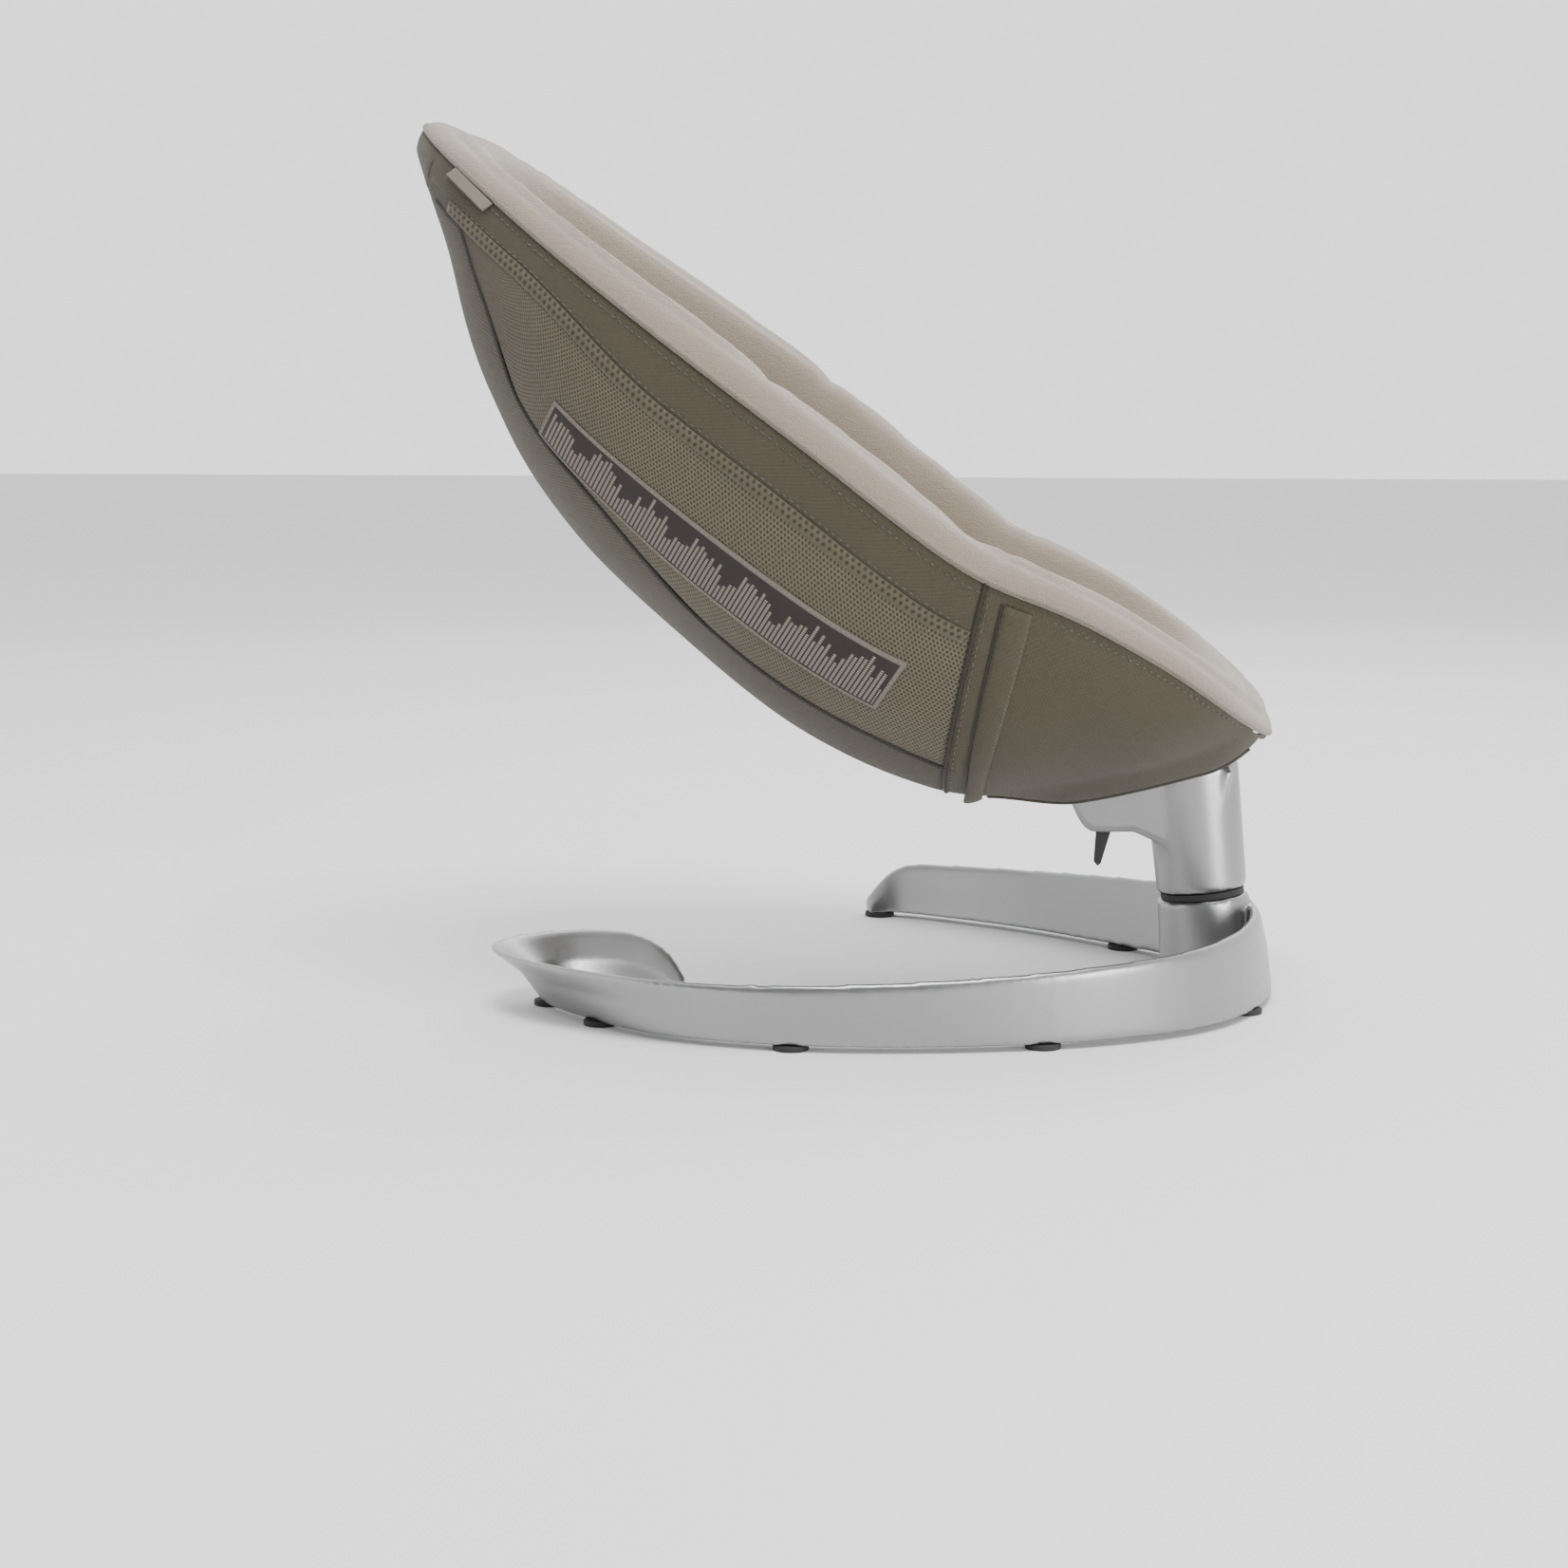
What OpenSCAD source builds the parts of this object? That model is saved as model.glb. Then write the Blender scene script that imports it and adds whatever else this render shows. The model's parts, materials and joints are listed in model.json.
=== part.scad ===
// Bouncer seat: a padded leaf-shaped seat that glides from side to side on a leg at its foot end,
// over an open ribbon base. +Z is up, +X points to the foot end, Y runs across the seat.

/* [Seat] */
// Length of the seat along its slope
seat_l = 784; // [640:1:940]
// Width of the seat across its outer fabric
seat_w = 400; // [330:1:480]
// Depth of the sling below the rim plane
seat_depth = 206; // [150:1:250]
// Radius of the seat's rounded ends
seat_end_r = 140; // [110:1:150]
// Slope of the seat at rest, in degrees
seat_tilt = 35.3; // [30:0.1:40]
// Thickness of the liner's padding
pad_t = 16; // [8:1:20]
// Height of the padded rim above the side seam
rim_crown = 20; // [12:1:26]
// Thickness of the outer sling fabric
sling_t = 3; // [2:0.5:4]
// Outer diameter of the seat frame's tube
tube_d = 16; // [12:0.5:19]
// Wall of the seat frame's tube
tube_wall = 1.5; // [1:0.1:2.5]

/* [Base] */
// Length of the ribbon base
base_l = 578; // [460:1:700]
// Width of the ribbon base
base_w = 552; // [440:1:670]
// Height of the ribbon at the free ends
band_h = 42; // [30:1:52]
// Height of the ribbon beside the post
band_post_h = 62; // [50:1:64]
// Thickness of the ribbon at its top edge
band_top_t = 8; // [6:0.5:12]
// Thickness of the ribbon where it stands on the feet
band_foot_t = 20; // [16:0.5:26]
// Diameter of each rubber foot
foot_d = 25; // [18:0.5:30]
// Height of each rubber foot
foot_h = 4; // [3:0.5:6]

/* [Leg] */
// Diameter of the post at the swivel joint
post_d = 68; // [64:1:78]
// Lean of the swivel axis towards the head end, in degrees
swivel_lean = 6.3; // [3:0.1:9]
// Width of the leg's head
head_w = 58; // [52:1:70]
// Diameter of the swivel shaft
shaft_d = 24; // [18:0.5:26]
// Diameter of the recline pin
pin_d = 12; // [8:0.5:16]
// Width of the slot in the leg's head
slot_w = 26; // [22:0.5:30]
// Play between turning parts, as a gap on each side
play = 0.05; // [0.02:0.01:0.1]

/* [Hidden] */
$fn = 64;

// Places of the joints
swivel_x = base_l / 2 - 17;
swivel_z = 70;
pivot_x = swivel_x - 50;
pivot_z = 156;
seat_x = pivot_x + 100;
seat_z = pivot_z + 43;
lever_x = pivot_x - 27;
lever_z = pivot_z - 25;

soft_gap = 0.5;
cut = 1;

// ---------- shared shapes ----------

function lerp(a, b, k) = a + (b - a) * k;

// A Catmull-Rom curve through rows of numbers, read at k between 0 and the last row's number
function spline_row(rows, k) =
    let (n = len(rows) - 1, i = min(floor(k), n - 1), f = k - i)
    let (a = rows[max(i - 1, 0)], b = rows[i], c = rows[i + 1], d = rows[min(i + 2, n)])
    0.5 * (2 * b + (c - a) * f + (2 * a - 5 * b + 4 * c - d) * f * f + (3 * b - a - 3 * c + d) * f * f * f);

// A value read from rows of [place, value] with the same curve
function spline_at(rows, x, i = 0) =
    i >= len(rows) - 2 || x < rows[i + 1][0]
    ? spline_row(rows, i + max(0, min(1, (x - rows[i][0]) / (rows[i + 1][0] - rows[i][0]))))[1]
    : spline_at(rows, x, i + 1);

// A closed skin over rings of points; thin rings are closed by strips, convex ones by fans.
// Rings that run the other way round are turned with flip.
module loft(rings, thin = false, flip = false) {
    n = len(rings[0]);
    m = len(rings);
    last = (m - 1) * n;
    sides = [
        for (i = [0:m - 2], j = [0:n - 1])
        let (a = i * n + j, b = i * n + (j + 1) % n)
        each [[a, b, b + n], [a, b + n, a + n]]
    ];
    strip = [for (j = [0:n / 2 - 2]) each [[j, n - 1 - j, j + 1], [j + 1, n - 1 - j, n - 2 - j]]];
    apex = floor(n / 2);
    fan = [for (j = [1:n - 2]) [apex, (apex + j + 1) % n, (apex + j) % n]];
    start = thin ? strip : fan;
    end = [for (f = start) [last + f[0], last + f[2], last + f[1]]];
    polyhedron(
        [for (r = rings) each r],
        [for (f = concat(sides, start, end)) flip ? [f[0], f[2], f[1]] : f]
    );
}

module ring(outer, inner, h) {
    difference() {
        cylinder(r = outer, h = h);
        translate([0, 0, -cut]) cylinder(r = inner, h = h + 2 * cut);
    }
}

// A cylinder across the seat, centred on the XZ plane
module across(r, h) {
    rotate([90, 0, 0]) cylinder(r = r, h = h, center = true);
}

// ---------- ribbon base ----------

// Stations of the ribbon's outer foot line, from the far arm's tip round the post to the curl:
// share of the half length, share of the half width, share of the height, outward lean in degrees
BAND = [
    [-0.06, 0.97, 0.25, 0], [0, 0.985, 0.72, 0], [0.08, 0.975, 0.98, 0], [0.24, 0.9, 1.06, 0],
    [0.47, 0.76, 1.15, 0], [0.7, 0.57, 1.28, -2], [0.92, 0.36, 1.4, -6], [1.07, 0.15, 1.46, -9],
    [1.125, -0.08, 1.48, -10], [1.085, -0.37, 1.44, -7], [0.95, -0.635, 1.36, -3], [0.7, -0.83, 1.26, 0],
    [0.4, -0.945, 1.14, 0], [0.1, -0.995, 1.05, 0], [-0.14, -0.98, 1.0, 4], [-0.38, -0.9, 1.0, 17],
    [-0.58, -0.73, 1.0, 34], [-0.7, -0.58, 1.0, 42], [-0.72, -0.49, 1.0, 44], [-0.66, -0.425, 1.0, 44],
    [-0.55, -0.41, 0.98, 42], [-0.45, -0.43, 0.75, 40], [-0.37, -0.46, 0.3, 38]
];
// Depth of the ribbon's foot from front to back, as a share, at the start and end of the curl
CURL_FROM = 15;
CURL_FOOT = 0.6;
BAND_STEPS = 6;
band_n = (len(BAND) - 1) * BAND_STEPS;

function band_row(i) = spline_row(BAND, i / BAND_STEPS);
function band_xy(i) = let (r = band_row(i)) [r[0] * base_l / 2, r[1] * base_w / 2];
function band_top(i) = let (r = band_row(i), k = (r[2] - 1) / 0.48)
    r[2] <= 1 ? band_h * r[2] : band_h + (band_post_h - band_h) * k;

// Unit vector to the outside of the ribbon
function band_out(i) =
    let (a = band_xy(max(i - 0.25, 0)), b = band_xy(min(i + 0.25, band_n)), d = b - a, l = norm(d))
    [-d[1], d[0]] / l;

function band_foot(i) = band_foot_t * lerp(1, CURL_FOOT, max(0, min(1, (i / BAND_STEPS - CURL_FROM) / 2)));

function band_ring(i) =
    let (p = band_xy(i), o = band_out(i), h = band_top(i), lean = tan(band_row(i)[3]))
    let (r = band_top_t / 2, mid = h * 0.55, foot_t = band_foot(i))
    let (side = [
        [0, 0], [lean * mid * 0.75, mid], [lean * (h - r), h - r], [lean * h - r * 0.3, h - r * 0.3],
        [lean * h - r, h], [lean * h - 1.7 * r, h - r * 0.3], [lean * (h - r) - 2 * r, h - r],
        [lean * mid * 0.75 - lerp(foot_t, band_top_t, 0.62), mid], [-foot_t, 0]
    ])
    [for (q = side) [p[0] + o[0] * q[0], p[1] + o[1] * q[0], foot_h + q[1]]];

// Places of the feet: station along the ribbon
FEET = [0.7, 5.2, 9, 11.4, 13.5, 15.8, 17.7, 20.6];
foot_screw_r = 2.1;
foot_screw_l = 12;
screw_head_r = 4;

function foot_at(k) =
    let (i = k * BAND_STEPS, p = band_xy(i), o = band_out(i))
    [p[0] - o[0] * band_foot(i) / 2, p[1] - o[1] * band_foot(i) / 2];

socket_r = post_d / 2 + 0.5;
socket_len = swivel_z + 8;
bush_wall = 3.5;
bush_h = 16;
bush_flange = 2.5;
shaft_r = shaft_d / 2;
bush_r = shaft_r + play + bush_wall;
bore_r = shaft_r + 2;
joint_gap = 5;
stop_ring_r = bush_r + bush_flange + 5.5;
stop_r = 3;
stop_drop = 4.5;
swivel_stop = 25;
seal_in = stop_ring_r + stop_r + 1.2;
seal_out = post_d / 2 - 2.5;
upper_bush_z = -bush_h;
lower_bush_z = -50;
pocket_z = lower_bush_z - 0.5;
plug_r = bush_r + 5;

// The swivel's own frame: origin on the joint's lower face, z along its axis
module on_swivel() {
    translate([swivel_x, 0, swivel_z]) rotate([0, -swivel_lean, 0]) children();
}

module base_casting() {
    color("silver")
    difference() {
        union() {
            loft([for (i = [0:band_n]) band_ring(i)], flip = true);
            intersection() {
                on_swivel()
                translate([0, 0, -socket_len])
                cylinder(r1 = socket_r + 4, r2 = socket_r, h = socket_len);
                translate([swivel_x - 100, -100, foot_h]) cube([200, 200, 200]);
            }
        }
        on_swivel() {
            translate([0, 0, -socket_len - 20]) cylinder(r = bore_r, h = socket_len + 40);
            translate([0, 0, upper_bush_z]) cylinder(r = bush_r, h = bush_h + cut);
            translate([0, 0, lower_bush_z]) cylinder(r = bush_r, h = bush_h);
            translate([0, 0, pocket_z - 40]) cylinder(r = plug_r, h = 40.5);
            rotate([0, 0, -swivel_stop - 8])
            translate([0, 0, -stop_drop - 1.5])
            rotate_extrude(angle = 2 * swivel_stop + 16)
            translate([stop_ring_r - stop_r - 0.3, 0]) square([2 * stop_r + 0.6, stop_drop + 1.5 + cut]);
        }
        for (k = FEET)
        translate([foot_at(k)[0], foot_at(k)[1], foot_h - cut])
        cylinder(r = foot_screw_r, h = foot_screw_l - 1 + cut);
    }
}

module rubber_feet() {
    color("black")
    for (k = FEET)
    translate([foot_at(k)[0], foot_at(k)[1], 0])
    difference() {
        cylinder(r = foot_d / 2, h = foot_h);
        translate([0, 0, -cut]) cylinder(r = screw_head_r, h = 2 + cut);
        cylinder(r = foot_screw_r, h = foot_h + cut);
    }
}

module foot_screws() {
    color("gray")
    for (k = FEET)
    translate([foot_at(k)[0], foot_at(k)[1], 0.6])
    difference() {
        union() {
            cylinder(r = screw_head_r - 0.2, h = 1.4);
            cylinder(r = foot_screw_r, h = foot_screw_l);
        }
        translate([0, 0, -cut]) cylinder(r = 1.4, h = cut + 0.8, $fn = 6);
    }
}

module bush() {
    ring(bush_r, shaft_r + play, bush_h);
}

module lower_bush() {
    color("dimgray") on_swivel() translate([0, 0, lower_bush_z]) bush();
}

module upper_bush() {
    color("dimgray") on_swivel() translate([0, 0, upper_bush_z]) bush();
}

module thrust_washer() {
    color("goldenrod") on_swivel() ring(bush_r + bush_flange, shaft_r + play, joint_gap - play);
}

module joint_seal() {
    color("black") on_swivel() ring(seal_out, seal_in, joint_gap - 0.4);
}

shaft_bottom = lower_bush_z - 8;
circlip_z = lower_bush_z - 5;

module end_washer() {
    color("gray")
    on_swivel()
    translate([0, 0, lower_bush_z - 3])
    ring(bush_r + 2, shaft_r + play, 2.9);
}

module socket_plug() {
    color("black")
    intersection() {
        on_swivel()
        translate([0, 0, -swivel_z - 14])
        cylinder(r = plug_r, h = swivel_z + 14 + shaft_bottom - 2);
        translate([swivel_x - 60, -60, foot_h]) cube([120, 120, 40]);
    }
}

// ---------- leg ----------

head_top_r = 24;
leg_bottom = joint_gap;
slot_floor = pivot_z - 32;
cheek_gap = 0.3;
shaft_in_leg = 44;

// Outline of the leg's head, seen from the side
HEAD = [
    [-50, -13], [-44, -26], [-39, -33], [-33, -36.5], [-2, -35.5], [30, -50], [60, -40], [71, 12],
    [40, 20], [0, 24], [-24, 8], [-42, -4]
];

module leg_casting() {
    color("silver")
    difference() {
        union() {
            on_swivel() translate([0, 0, leg_bottom]) cylinder(r1 = post_d / 2, r2 = post_d / 2 + 2, h = 96);
            translate([pivot_x, 0, pivot_z])
            rotate([90, 0, 0])
            linear_extrude(head_w, center = true) {
                polygon(HEAD);
                circle(r = head_top_r);
            }
        }
        // slot for the hub's tongue and the release lever
        translate([pivot_x - 43, -slot_w / 2, slot_floor]) cube([78, slot_w, 80]);
        translate([pivot_x - 60, -slot_w / 2, pivot_z - 8]) cube([60, slot_w, 60]);
        // the post's top is cut off under the seat
        translate([pivot_x + 20, -60, pivot_z + 15]) rotate([0, -10, 0]) cube([90, 120, 40]);
        // opening that the lever comes out of
        translate([pivot_x - 39, -lever_w / 2 - 1.5, slot_floor - 14]) cube([30, lever_w + 3, 30]);
        translate([pivot_x, 0, pivot_z]) across(pin_d / 2, head_w - 6);
        translate([lever_x, 0, lever_z]) across(lever_pin_r, head_w - 16);
        on_swivel() {
            translate([0, 0, leg_bottom - cut]) cylinder(r = shaft_r, h = shaft_in_leg + cut);
            translate([stop_ring_r, 0, leg_bottom - cut]) cylinder(r = stop_r, h = 10 + cut);
        }
    }
}

module swivel_shaft() {
    color("lightgray")
    on_swivel()
    difference() {
        translate([0, 0, shaft_bottom]) cylinder(r = shaft_r, h = leg_bottom + shaft_in_leg - shaft_bottom);
        translate([0, 0, circlip_z]) ring(shaft_r + 2, shaft_r - 1.2, 1.8);
    }
}

module shaft_circlip() {
    color("dimgray")
    on_swivel()
    translate([0, 0, circlip_z + 0.1])
    difference() {
        ring(shaft_r + 2.5, shaft_r - 1.1, 1.6);
        translate([0, -3, -cut]) cube([40, 6, 6]);
    }
}

module stop_pin() {
    color("gray")
    on_swivel()
    translate([stop_ring_r, 0, -stop_drop])
    cylinder(r = stop_r, h = stop_drop + leg_bottom + 10);
}

module recline_pin() {
    color("lightgray") translate([pivot_x, 0, pivot_z]) across(pin_d / 2, head_w - 6);
}

lever_pin_r = 2.5;
lever_w = 14;

module lever_pin() {
    color("lightgray") translate([lever_x, 0, lever_z]) across(lever_pin_r, head_w - 16);
}

spring_wire = 0.8;
spring_turns = 4;

// Turns of the lever's return spring, beside the lever on its pin
module lever_spring() {
    color("lightgray")
    for (k = [0:spring_turns - 1])
    translate([lever_x, lever_w / 2 + 0.9 + k * 1.2, lever_z])
    rotate([90, 0, 0])
    rotate_extrude()
    translate([lever_pin_r + 1, 0]) circle(r = spring_wire / 2 - 0.01, $fn = 24);
}

// Release lever: finger blade below the head and a tooth under the hub, as seen from the side
LEVER = [
    [-6, 2], [-3, 4.5], [3, 4.5], [22, 1.5], [24, 5.2], [30, 5.2], [31, -1.5], [8, -5], [7.5, -12],
    [0, -38], [-2.5, -40], [-5.5, -36.5], [-4, -12]
];
lever_boss_r = 5.5;
notch_r = 22;
notch_depth = 4.5;

module release_lever() {
    color("black")
    translate([lever_x, 0, lever_z])
    difference() {
        union() {
            rotate([90, 0, 0]) linear_extrude(lever_w, center = true) polygon(LEVER);
            across(lever_boss_r, lever_w);
        }
        across(lever_pin_r + play, lever_w + 2 * cut);
    }
}

// ---------- seat frame ----------

// The seat's own frame: origin at the foot end of the rim plane, x towards the foot, z square to it
module on_seat() {
    translate([seat_x, 0, seat_z]) rotate([0, seat_tilt, 0]) children();
}

// Side radius of an oval with round ends, and its half width at a place along it
function oval_side_r(l, w, r) = (pow(l / 2 - r, 2) + w * w - r * r) / (2 * (w - r));
function oval_half(s, l, w, r) =
    let (x = min(abs(s - l / 2), l / 2), a = l / 2 - r)
    let (big = oval_side_r(l, w, r), xt = big * a / (big - r))
    x <= xt ? sqrt(big * big - x * x) - (big - w) : sqrt(max(0, r * r - pow(x - a, 2)));

// Depth of the sling along the seat: share of the length from the foot, share of the depth
BELLY = [
    [0, 0.08], [0.09, 0.47], [0.2, 0.86], [0.37, 1], [0.56, 0.96], [0.71, 0.835],
    [0.83, 0.59], [0.89, 0.37], [0.955, 0.195], [1, 0.09]
];
// Height of the side seam along the seat, in mm
SEAM = [[0, -4], [0.1, 1], [0.22, -6], [0.31, -22], [0.5, -17], [0.8, -12], [1, -3]];
shape_power = 0.8;

function seam_z(s) = spline_at(SEAM, s / seat_l);
function belly(s) = spline_at(BELLY, s / seat_l) * seat_depth;

tube_r = tube_d / 2;
frame_in = sling_t + 5 + tube_r;
frame_top = -3;
loop_l = seat_l - 2 * frame_in;
loop_w = seat_w / 2 - frame_in;
loop_r = seat_end_r - frame_in;
loop_side_r = oval_side_r(loop_l, loop_w, loop_r);
loop_reach = loop_l / 2 - loop_r;
loop_turn = atan2(loop_reach, loop_side_r - loop_w);
tube_joint_s = 0.47 * seat_l;

// Point on the loop's centre line for an angle seen from the end arc's centre, then along the side arc
function tube_z(s) = min(seam_z(s), frame_top) - tube_r - 3;
function end_arc(angle) = [loop_reach + loop_r * cos(angle), loop_r * sin(angle)];
function side_arc(angle) = [loop_side_r * sin(angle), loop_w - loop_side_r + loop_side_r * cos(angle)];

// Half of the loop's route from one side joint round the end, as [x, y, heading]
function half_route(joint_x) =
    let (stop = asin(joint_x / loop_side_r), half = 90 - loop_turn)
    concat(
        [for (a = steps(stop, loop_turn, 9)) concat(side_arc(a), -a)],
        [for (a = steps(half - half / 12, 0, 11)) concat(end_arc(a), a - 90)],
        [for (a = steps(-half / 12, -half, 11)) concat(end_arc(a), a - 90)],
        [for (a = steps(loop_turn - 0.5, stop, 9)) let (p = side_arc(a)) [p[0], -p[1], a - 180]]
    );

TUBE_SIDES = 10;
module swept_tube(route, r, toward) {
    loft([
        for (q = route)
        [for (k = [0:TUBE_SIDES - 1])
            let (a = 360 * k / TUBE_SIDES, side = q[2] + 90, out = q[0] + r * cos(a) * cos(side))
            let (high = tube_z(seat_l / 2 - toward * q[0]))
            [toward * out, q[1] + r * cos(a) * sin(side), high + toward * r * sin(a)]]
    ], flip = true);
}

module half_tube(joint_x, toward) {
    on_seat()
    translate([-seat_l / 2, 0, 0])
    difference() {
        swept_tube(half_route(joint_x), tube_r, toward);
        swept_tube(half_route(joint_x - cut), tube_r - tube_wall, toward);
    }
}

joint_x = seat_l / 2 - tube_joint_s;

module head_tube() {
    color("silver") half_tube(-joint_x + 0.2, -1);
}

module foot_tube() {
    color("silver") half_tube(joint_x + 0.2, 1);
}

// Sleeves inside the tube that join its two halves
module tube_couplers() {
    color("gray")
    on_seat()
    translate([-seat_l / 2, 0, 0])
    for (side = [0, 1])
    mirror([0, side, 0])
    swept_tube(
        [for (a = steps(joint_angle - 2, joint_angle + 2, 4)) concat(side_arc(a), -a)],
        tube_r - tube_wall - 0.8, 1
    );
}

joint_angle = asin(joint_x / loop_side_r);

// Cross bar under the loop, near its foot end
bar_s = 62;
loop_foot_z = tube_z(bar_s);
bar_z = loop_foot_z - tube_d - 1;
bar_half = oval_half(bar_s - frame_in, loop_l, loop_w, loop_r);

module cross_bar() {
    color("silver")
    on_seat()
    translate([-bar_s, 0, bar_z])
    difference() {
        across(tube_r, 2 * bar_half - 8);
        across(tube_r - tube_wall, 2 * bar_half);
    }
}

// Round hollow that the loop's foot end lies in
module loop_hollow(gap) {
    translate([-frame_in - loop_r, 0, loop_foot_z])
    rotate_extrude()
    translate([loop_r, 0]) circle(r = tube_r + gap);
}

// Cradles that hold the cross bar under the loop
saddle_t = 2.5;
saddle_l = 20;
saddle_w = 15;
saddle_y = bar_half - 5 - saddle_w / 2;

module frame_saddles() {
    color("dimgray")
    on_seat()
    difference() {
        for (side = [-1, 1])
        translate([-bar_s - saddle_l / 2, side * saddle_y - saddle_w / 2, bar_z - tube_r - saddle_t])
        cube([saddle_l, saddle_w, loop_foot_z - bar_z + tube_r + saddle_t + 2]);
        translate([-bar_s, 0, bar_z]) across(tube_r, 3 * bar_half);
        loop_hollow(0.1);
    }
}

module saddle_screws() {
    color("gray")
    on_seat()
    for (side = [-1, 1])
    translate([-bar_s, side * saddle_y, bar_z - tube_r - saddle_t - 1.5])
    cylinder(r = 4, h = 1.5);
}

// Hub: a tongue on the recline pin that widens to a block under the cross bar and the loop's foot end
hub_w = slot_w - 2 * cheek_gap;
hub_bush_r = pin_d / 2 + 2;
hub_block_w = 46;
hub_half_l = 21;
hub_wall = 4;

// Ends of the block along the seat
hub_back = -bar_s - tube_r - 6;
hub_front = 0.75 * tube_r - frame_in;

// The recline pin seen in the seat's own frame
pin_s = (pivot_x - seat_x) * cos(seat_tilt) - (pivot_z - seat_z) * sin(seat_tilt);
pin_t = (pivot_x - seat_x) * sin(seat_tilt) + (pivot_z - seat_z) * cos(seat_tilt);

module seat_hub() {
    color("dimgray")
    on_seat()
    difference() {
        union() {
            translate([pin_s, 0, pin_t]) across(notch_r, hub_w);
            rotate([90, 0, 0])
            linear_extrude(hub_w, center = true)
            polygon([
                [pin_s - hub_half_l, pin_t + 4], [pin_s + hub_half_l, pin_t + 4],
                [tube_d + 2 - bar_s, bar_z - 5], [hub_back, bar_z - 5]
            ]);
            rotate([90, 0, 0])
            linear_extrude(hub_block_w, center = true)
            polygon([
                [hub_back, bar_z + 3], [hub_back, bar_z - tube_r - hub_wall],
                [tube_d - bar_s, bar_z - tube_r - hub_wall], [hub_front, bar_z - 3], [hub_front, loop_foot_z],
                [-frame_in - tube_r - hub_wall, loop_foot_z], [-frame_in - tube_d, bar_z + 3]
            ]);
        }
        translate([pin_s, 0, pin_t]) across(hub_bush_r, hub_w + 2 * cut);
        translate([-bar_s, 0, bar_z]) across(tube_r, hub_block_w + 2 * cut);
        loop_hollow(0.1);
        // groove that the lever's tooth runs in while the seat reclines
        translate([pin_s, 0, pin_t])
        rotate([90, -seat_tilt, 0])
        rotate([0, 0, -90 - recline - tooth_turn])
        translate([0, 0, -lever_w / 2 - 0.6])
        rotate_extrude(angle = recline + 2 * tooth_turn)
        translate([notch_r - notch_depth, 0]) square([notch_depth + cut, lever_w + 1.2]);
    }
}

recline = 20;
// Half of the angle that the tooth takes up in its groove
tooth_turn = 11;

module hub_bushes() {
    color("goldenrod")
    on_seat()
    for (side = [-1, 1])
    translate([pin_s, side * (hub_w / 4 + 0.25), pin_t])
    rotate([90, 0, 0])
    translate([0, 0, -(hub_w / 2 - 0.5) / 2])
    ring(hub_bush_r, pin_d / 2 + play, hub_w / 2 - 0.5);
}

// ---------- soft parts ----------

function outer_half(s, inset = 0) =
    oval_half(s - inset, seat_l - 2 * inset, seat_w / 2 - inset, seat_end_r - inset);

// Point of the sling's outer face at an angle round the section, moved in by an inset
function sling_point(s, angle, inset = 0) =
    let (w = max(outer_half(s) - inset, 1), d = max(belly(s) + seam_z(s) - inset, 2), c = cos(angle))
    [sign(c) * w * pow(abs(c), shape_power), seam_z(s) - rim_drop - d * pow(max(sin(angle), 0), shape_power)];
rim_drop = 1;

// Place along the seat of the slanting seam between the foot section and the rest
function foot_line(angle) = foot_seam + foot_seam_lean * (1 - pow(max(sin(angle), 0), shape_power));

// Ring of a skin between two insets, a share k of the way from place a to place b; a place of -1 is the
// slanting seam, moved along by the offset
function skin_at(a, b, k, angle, off) =
    lerp(a < 0 ? foot_line(angle) + off : a, b < 0 ? foot_line(angle) + off : b, k);
function skin_point(a, b, k, angle, off, inset) =
    let (s = skin_at(a, b, k, angle, off), p = sling_point(s, angle, inset)) [-s, p[0], p[1]];
function skin_ring(a, b, k, off, a0, a1, n, near, far) = concat(
    [for (j = [0:n]) skin_point(a, b, k, lerp(a0, a1, j / n), off, near)],
    [for (j = [n:-1:0]) skin_point(a, b, k, lerp(a0, a1, j / n), off, far)]
);

function steps(a, b, n) = [for (i = [0:n]) lerp(a, b, i / n)];
// Places that crowd towards both ends, where the outline turns fast
function eased(a, b, n) = [for (i = [0:n]) lerp(a, b, (1 - cos(180 * i / n)) / 2)];

sling_end = 4;
foot_seam = 0.215 * seat_l;
foot_seam_lean = 0.084 * seat_l;
mesh_top = 37;
mesh_head = 0.925 * seat_l;

// Angle round the section at which the solid side band gives way to the mesh
function band_angle(s) =
    let (d = belly(s) + seam_z(s))
    d <= mesh_top * 1.02 ? 88 : min(88, asin(pow(mesh_top / d, 1 / shape_power)));

module side_band(side) {
    on_seat()
    mirror([0, side < 0 ? 1 : 0, 0])
    loft([
        for (k = eased(0, 1, 22))
        let (end = band_angle(lerp(foot_line(4), seat_l - sling_end, k)))
        skin_ring(-1, seat_l - sling_end, k, soft_gap, 0, end, 4, 0, sling_t)
    ], thin = true, flip = true);
}

module side_band_left() {
    color("darkkhaki") side_band(1);
}

module side_band_right() {
    color("darkkhaki") side_band(-1);
}

// Turn from the band's edge to the mesh's, in degrees; the band ends steeply at the head end
function mesh_gap(k) = 1.5 + 6 * pow(k, 4);

module mesh_sling() {
    color("tan")
    on_seat()
    loft([
        for (k = steps(0, 1, 24))
        let (a = band_angle(lerp(foot_line(8), mesh_head, k)) + mesh_gap(k))
        skin_ring(-1, mesh_head, k, soft_gap, a, 180 - a, 18, 0, sling_t)
    ], thin = true, flip = true);
}

// The foot section is open underneath, round the leg
cover_slot = post_d + 28;
cover_open = 108;

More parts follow.
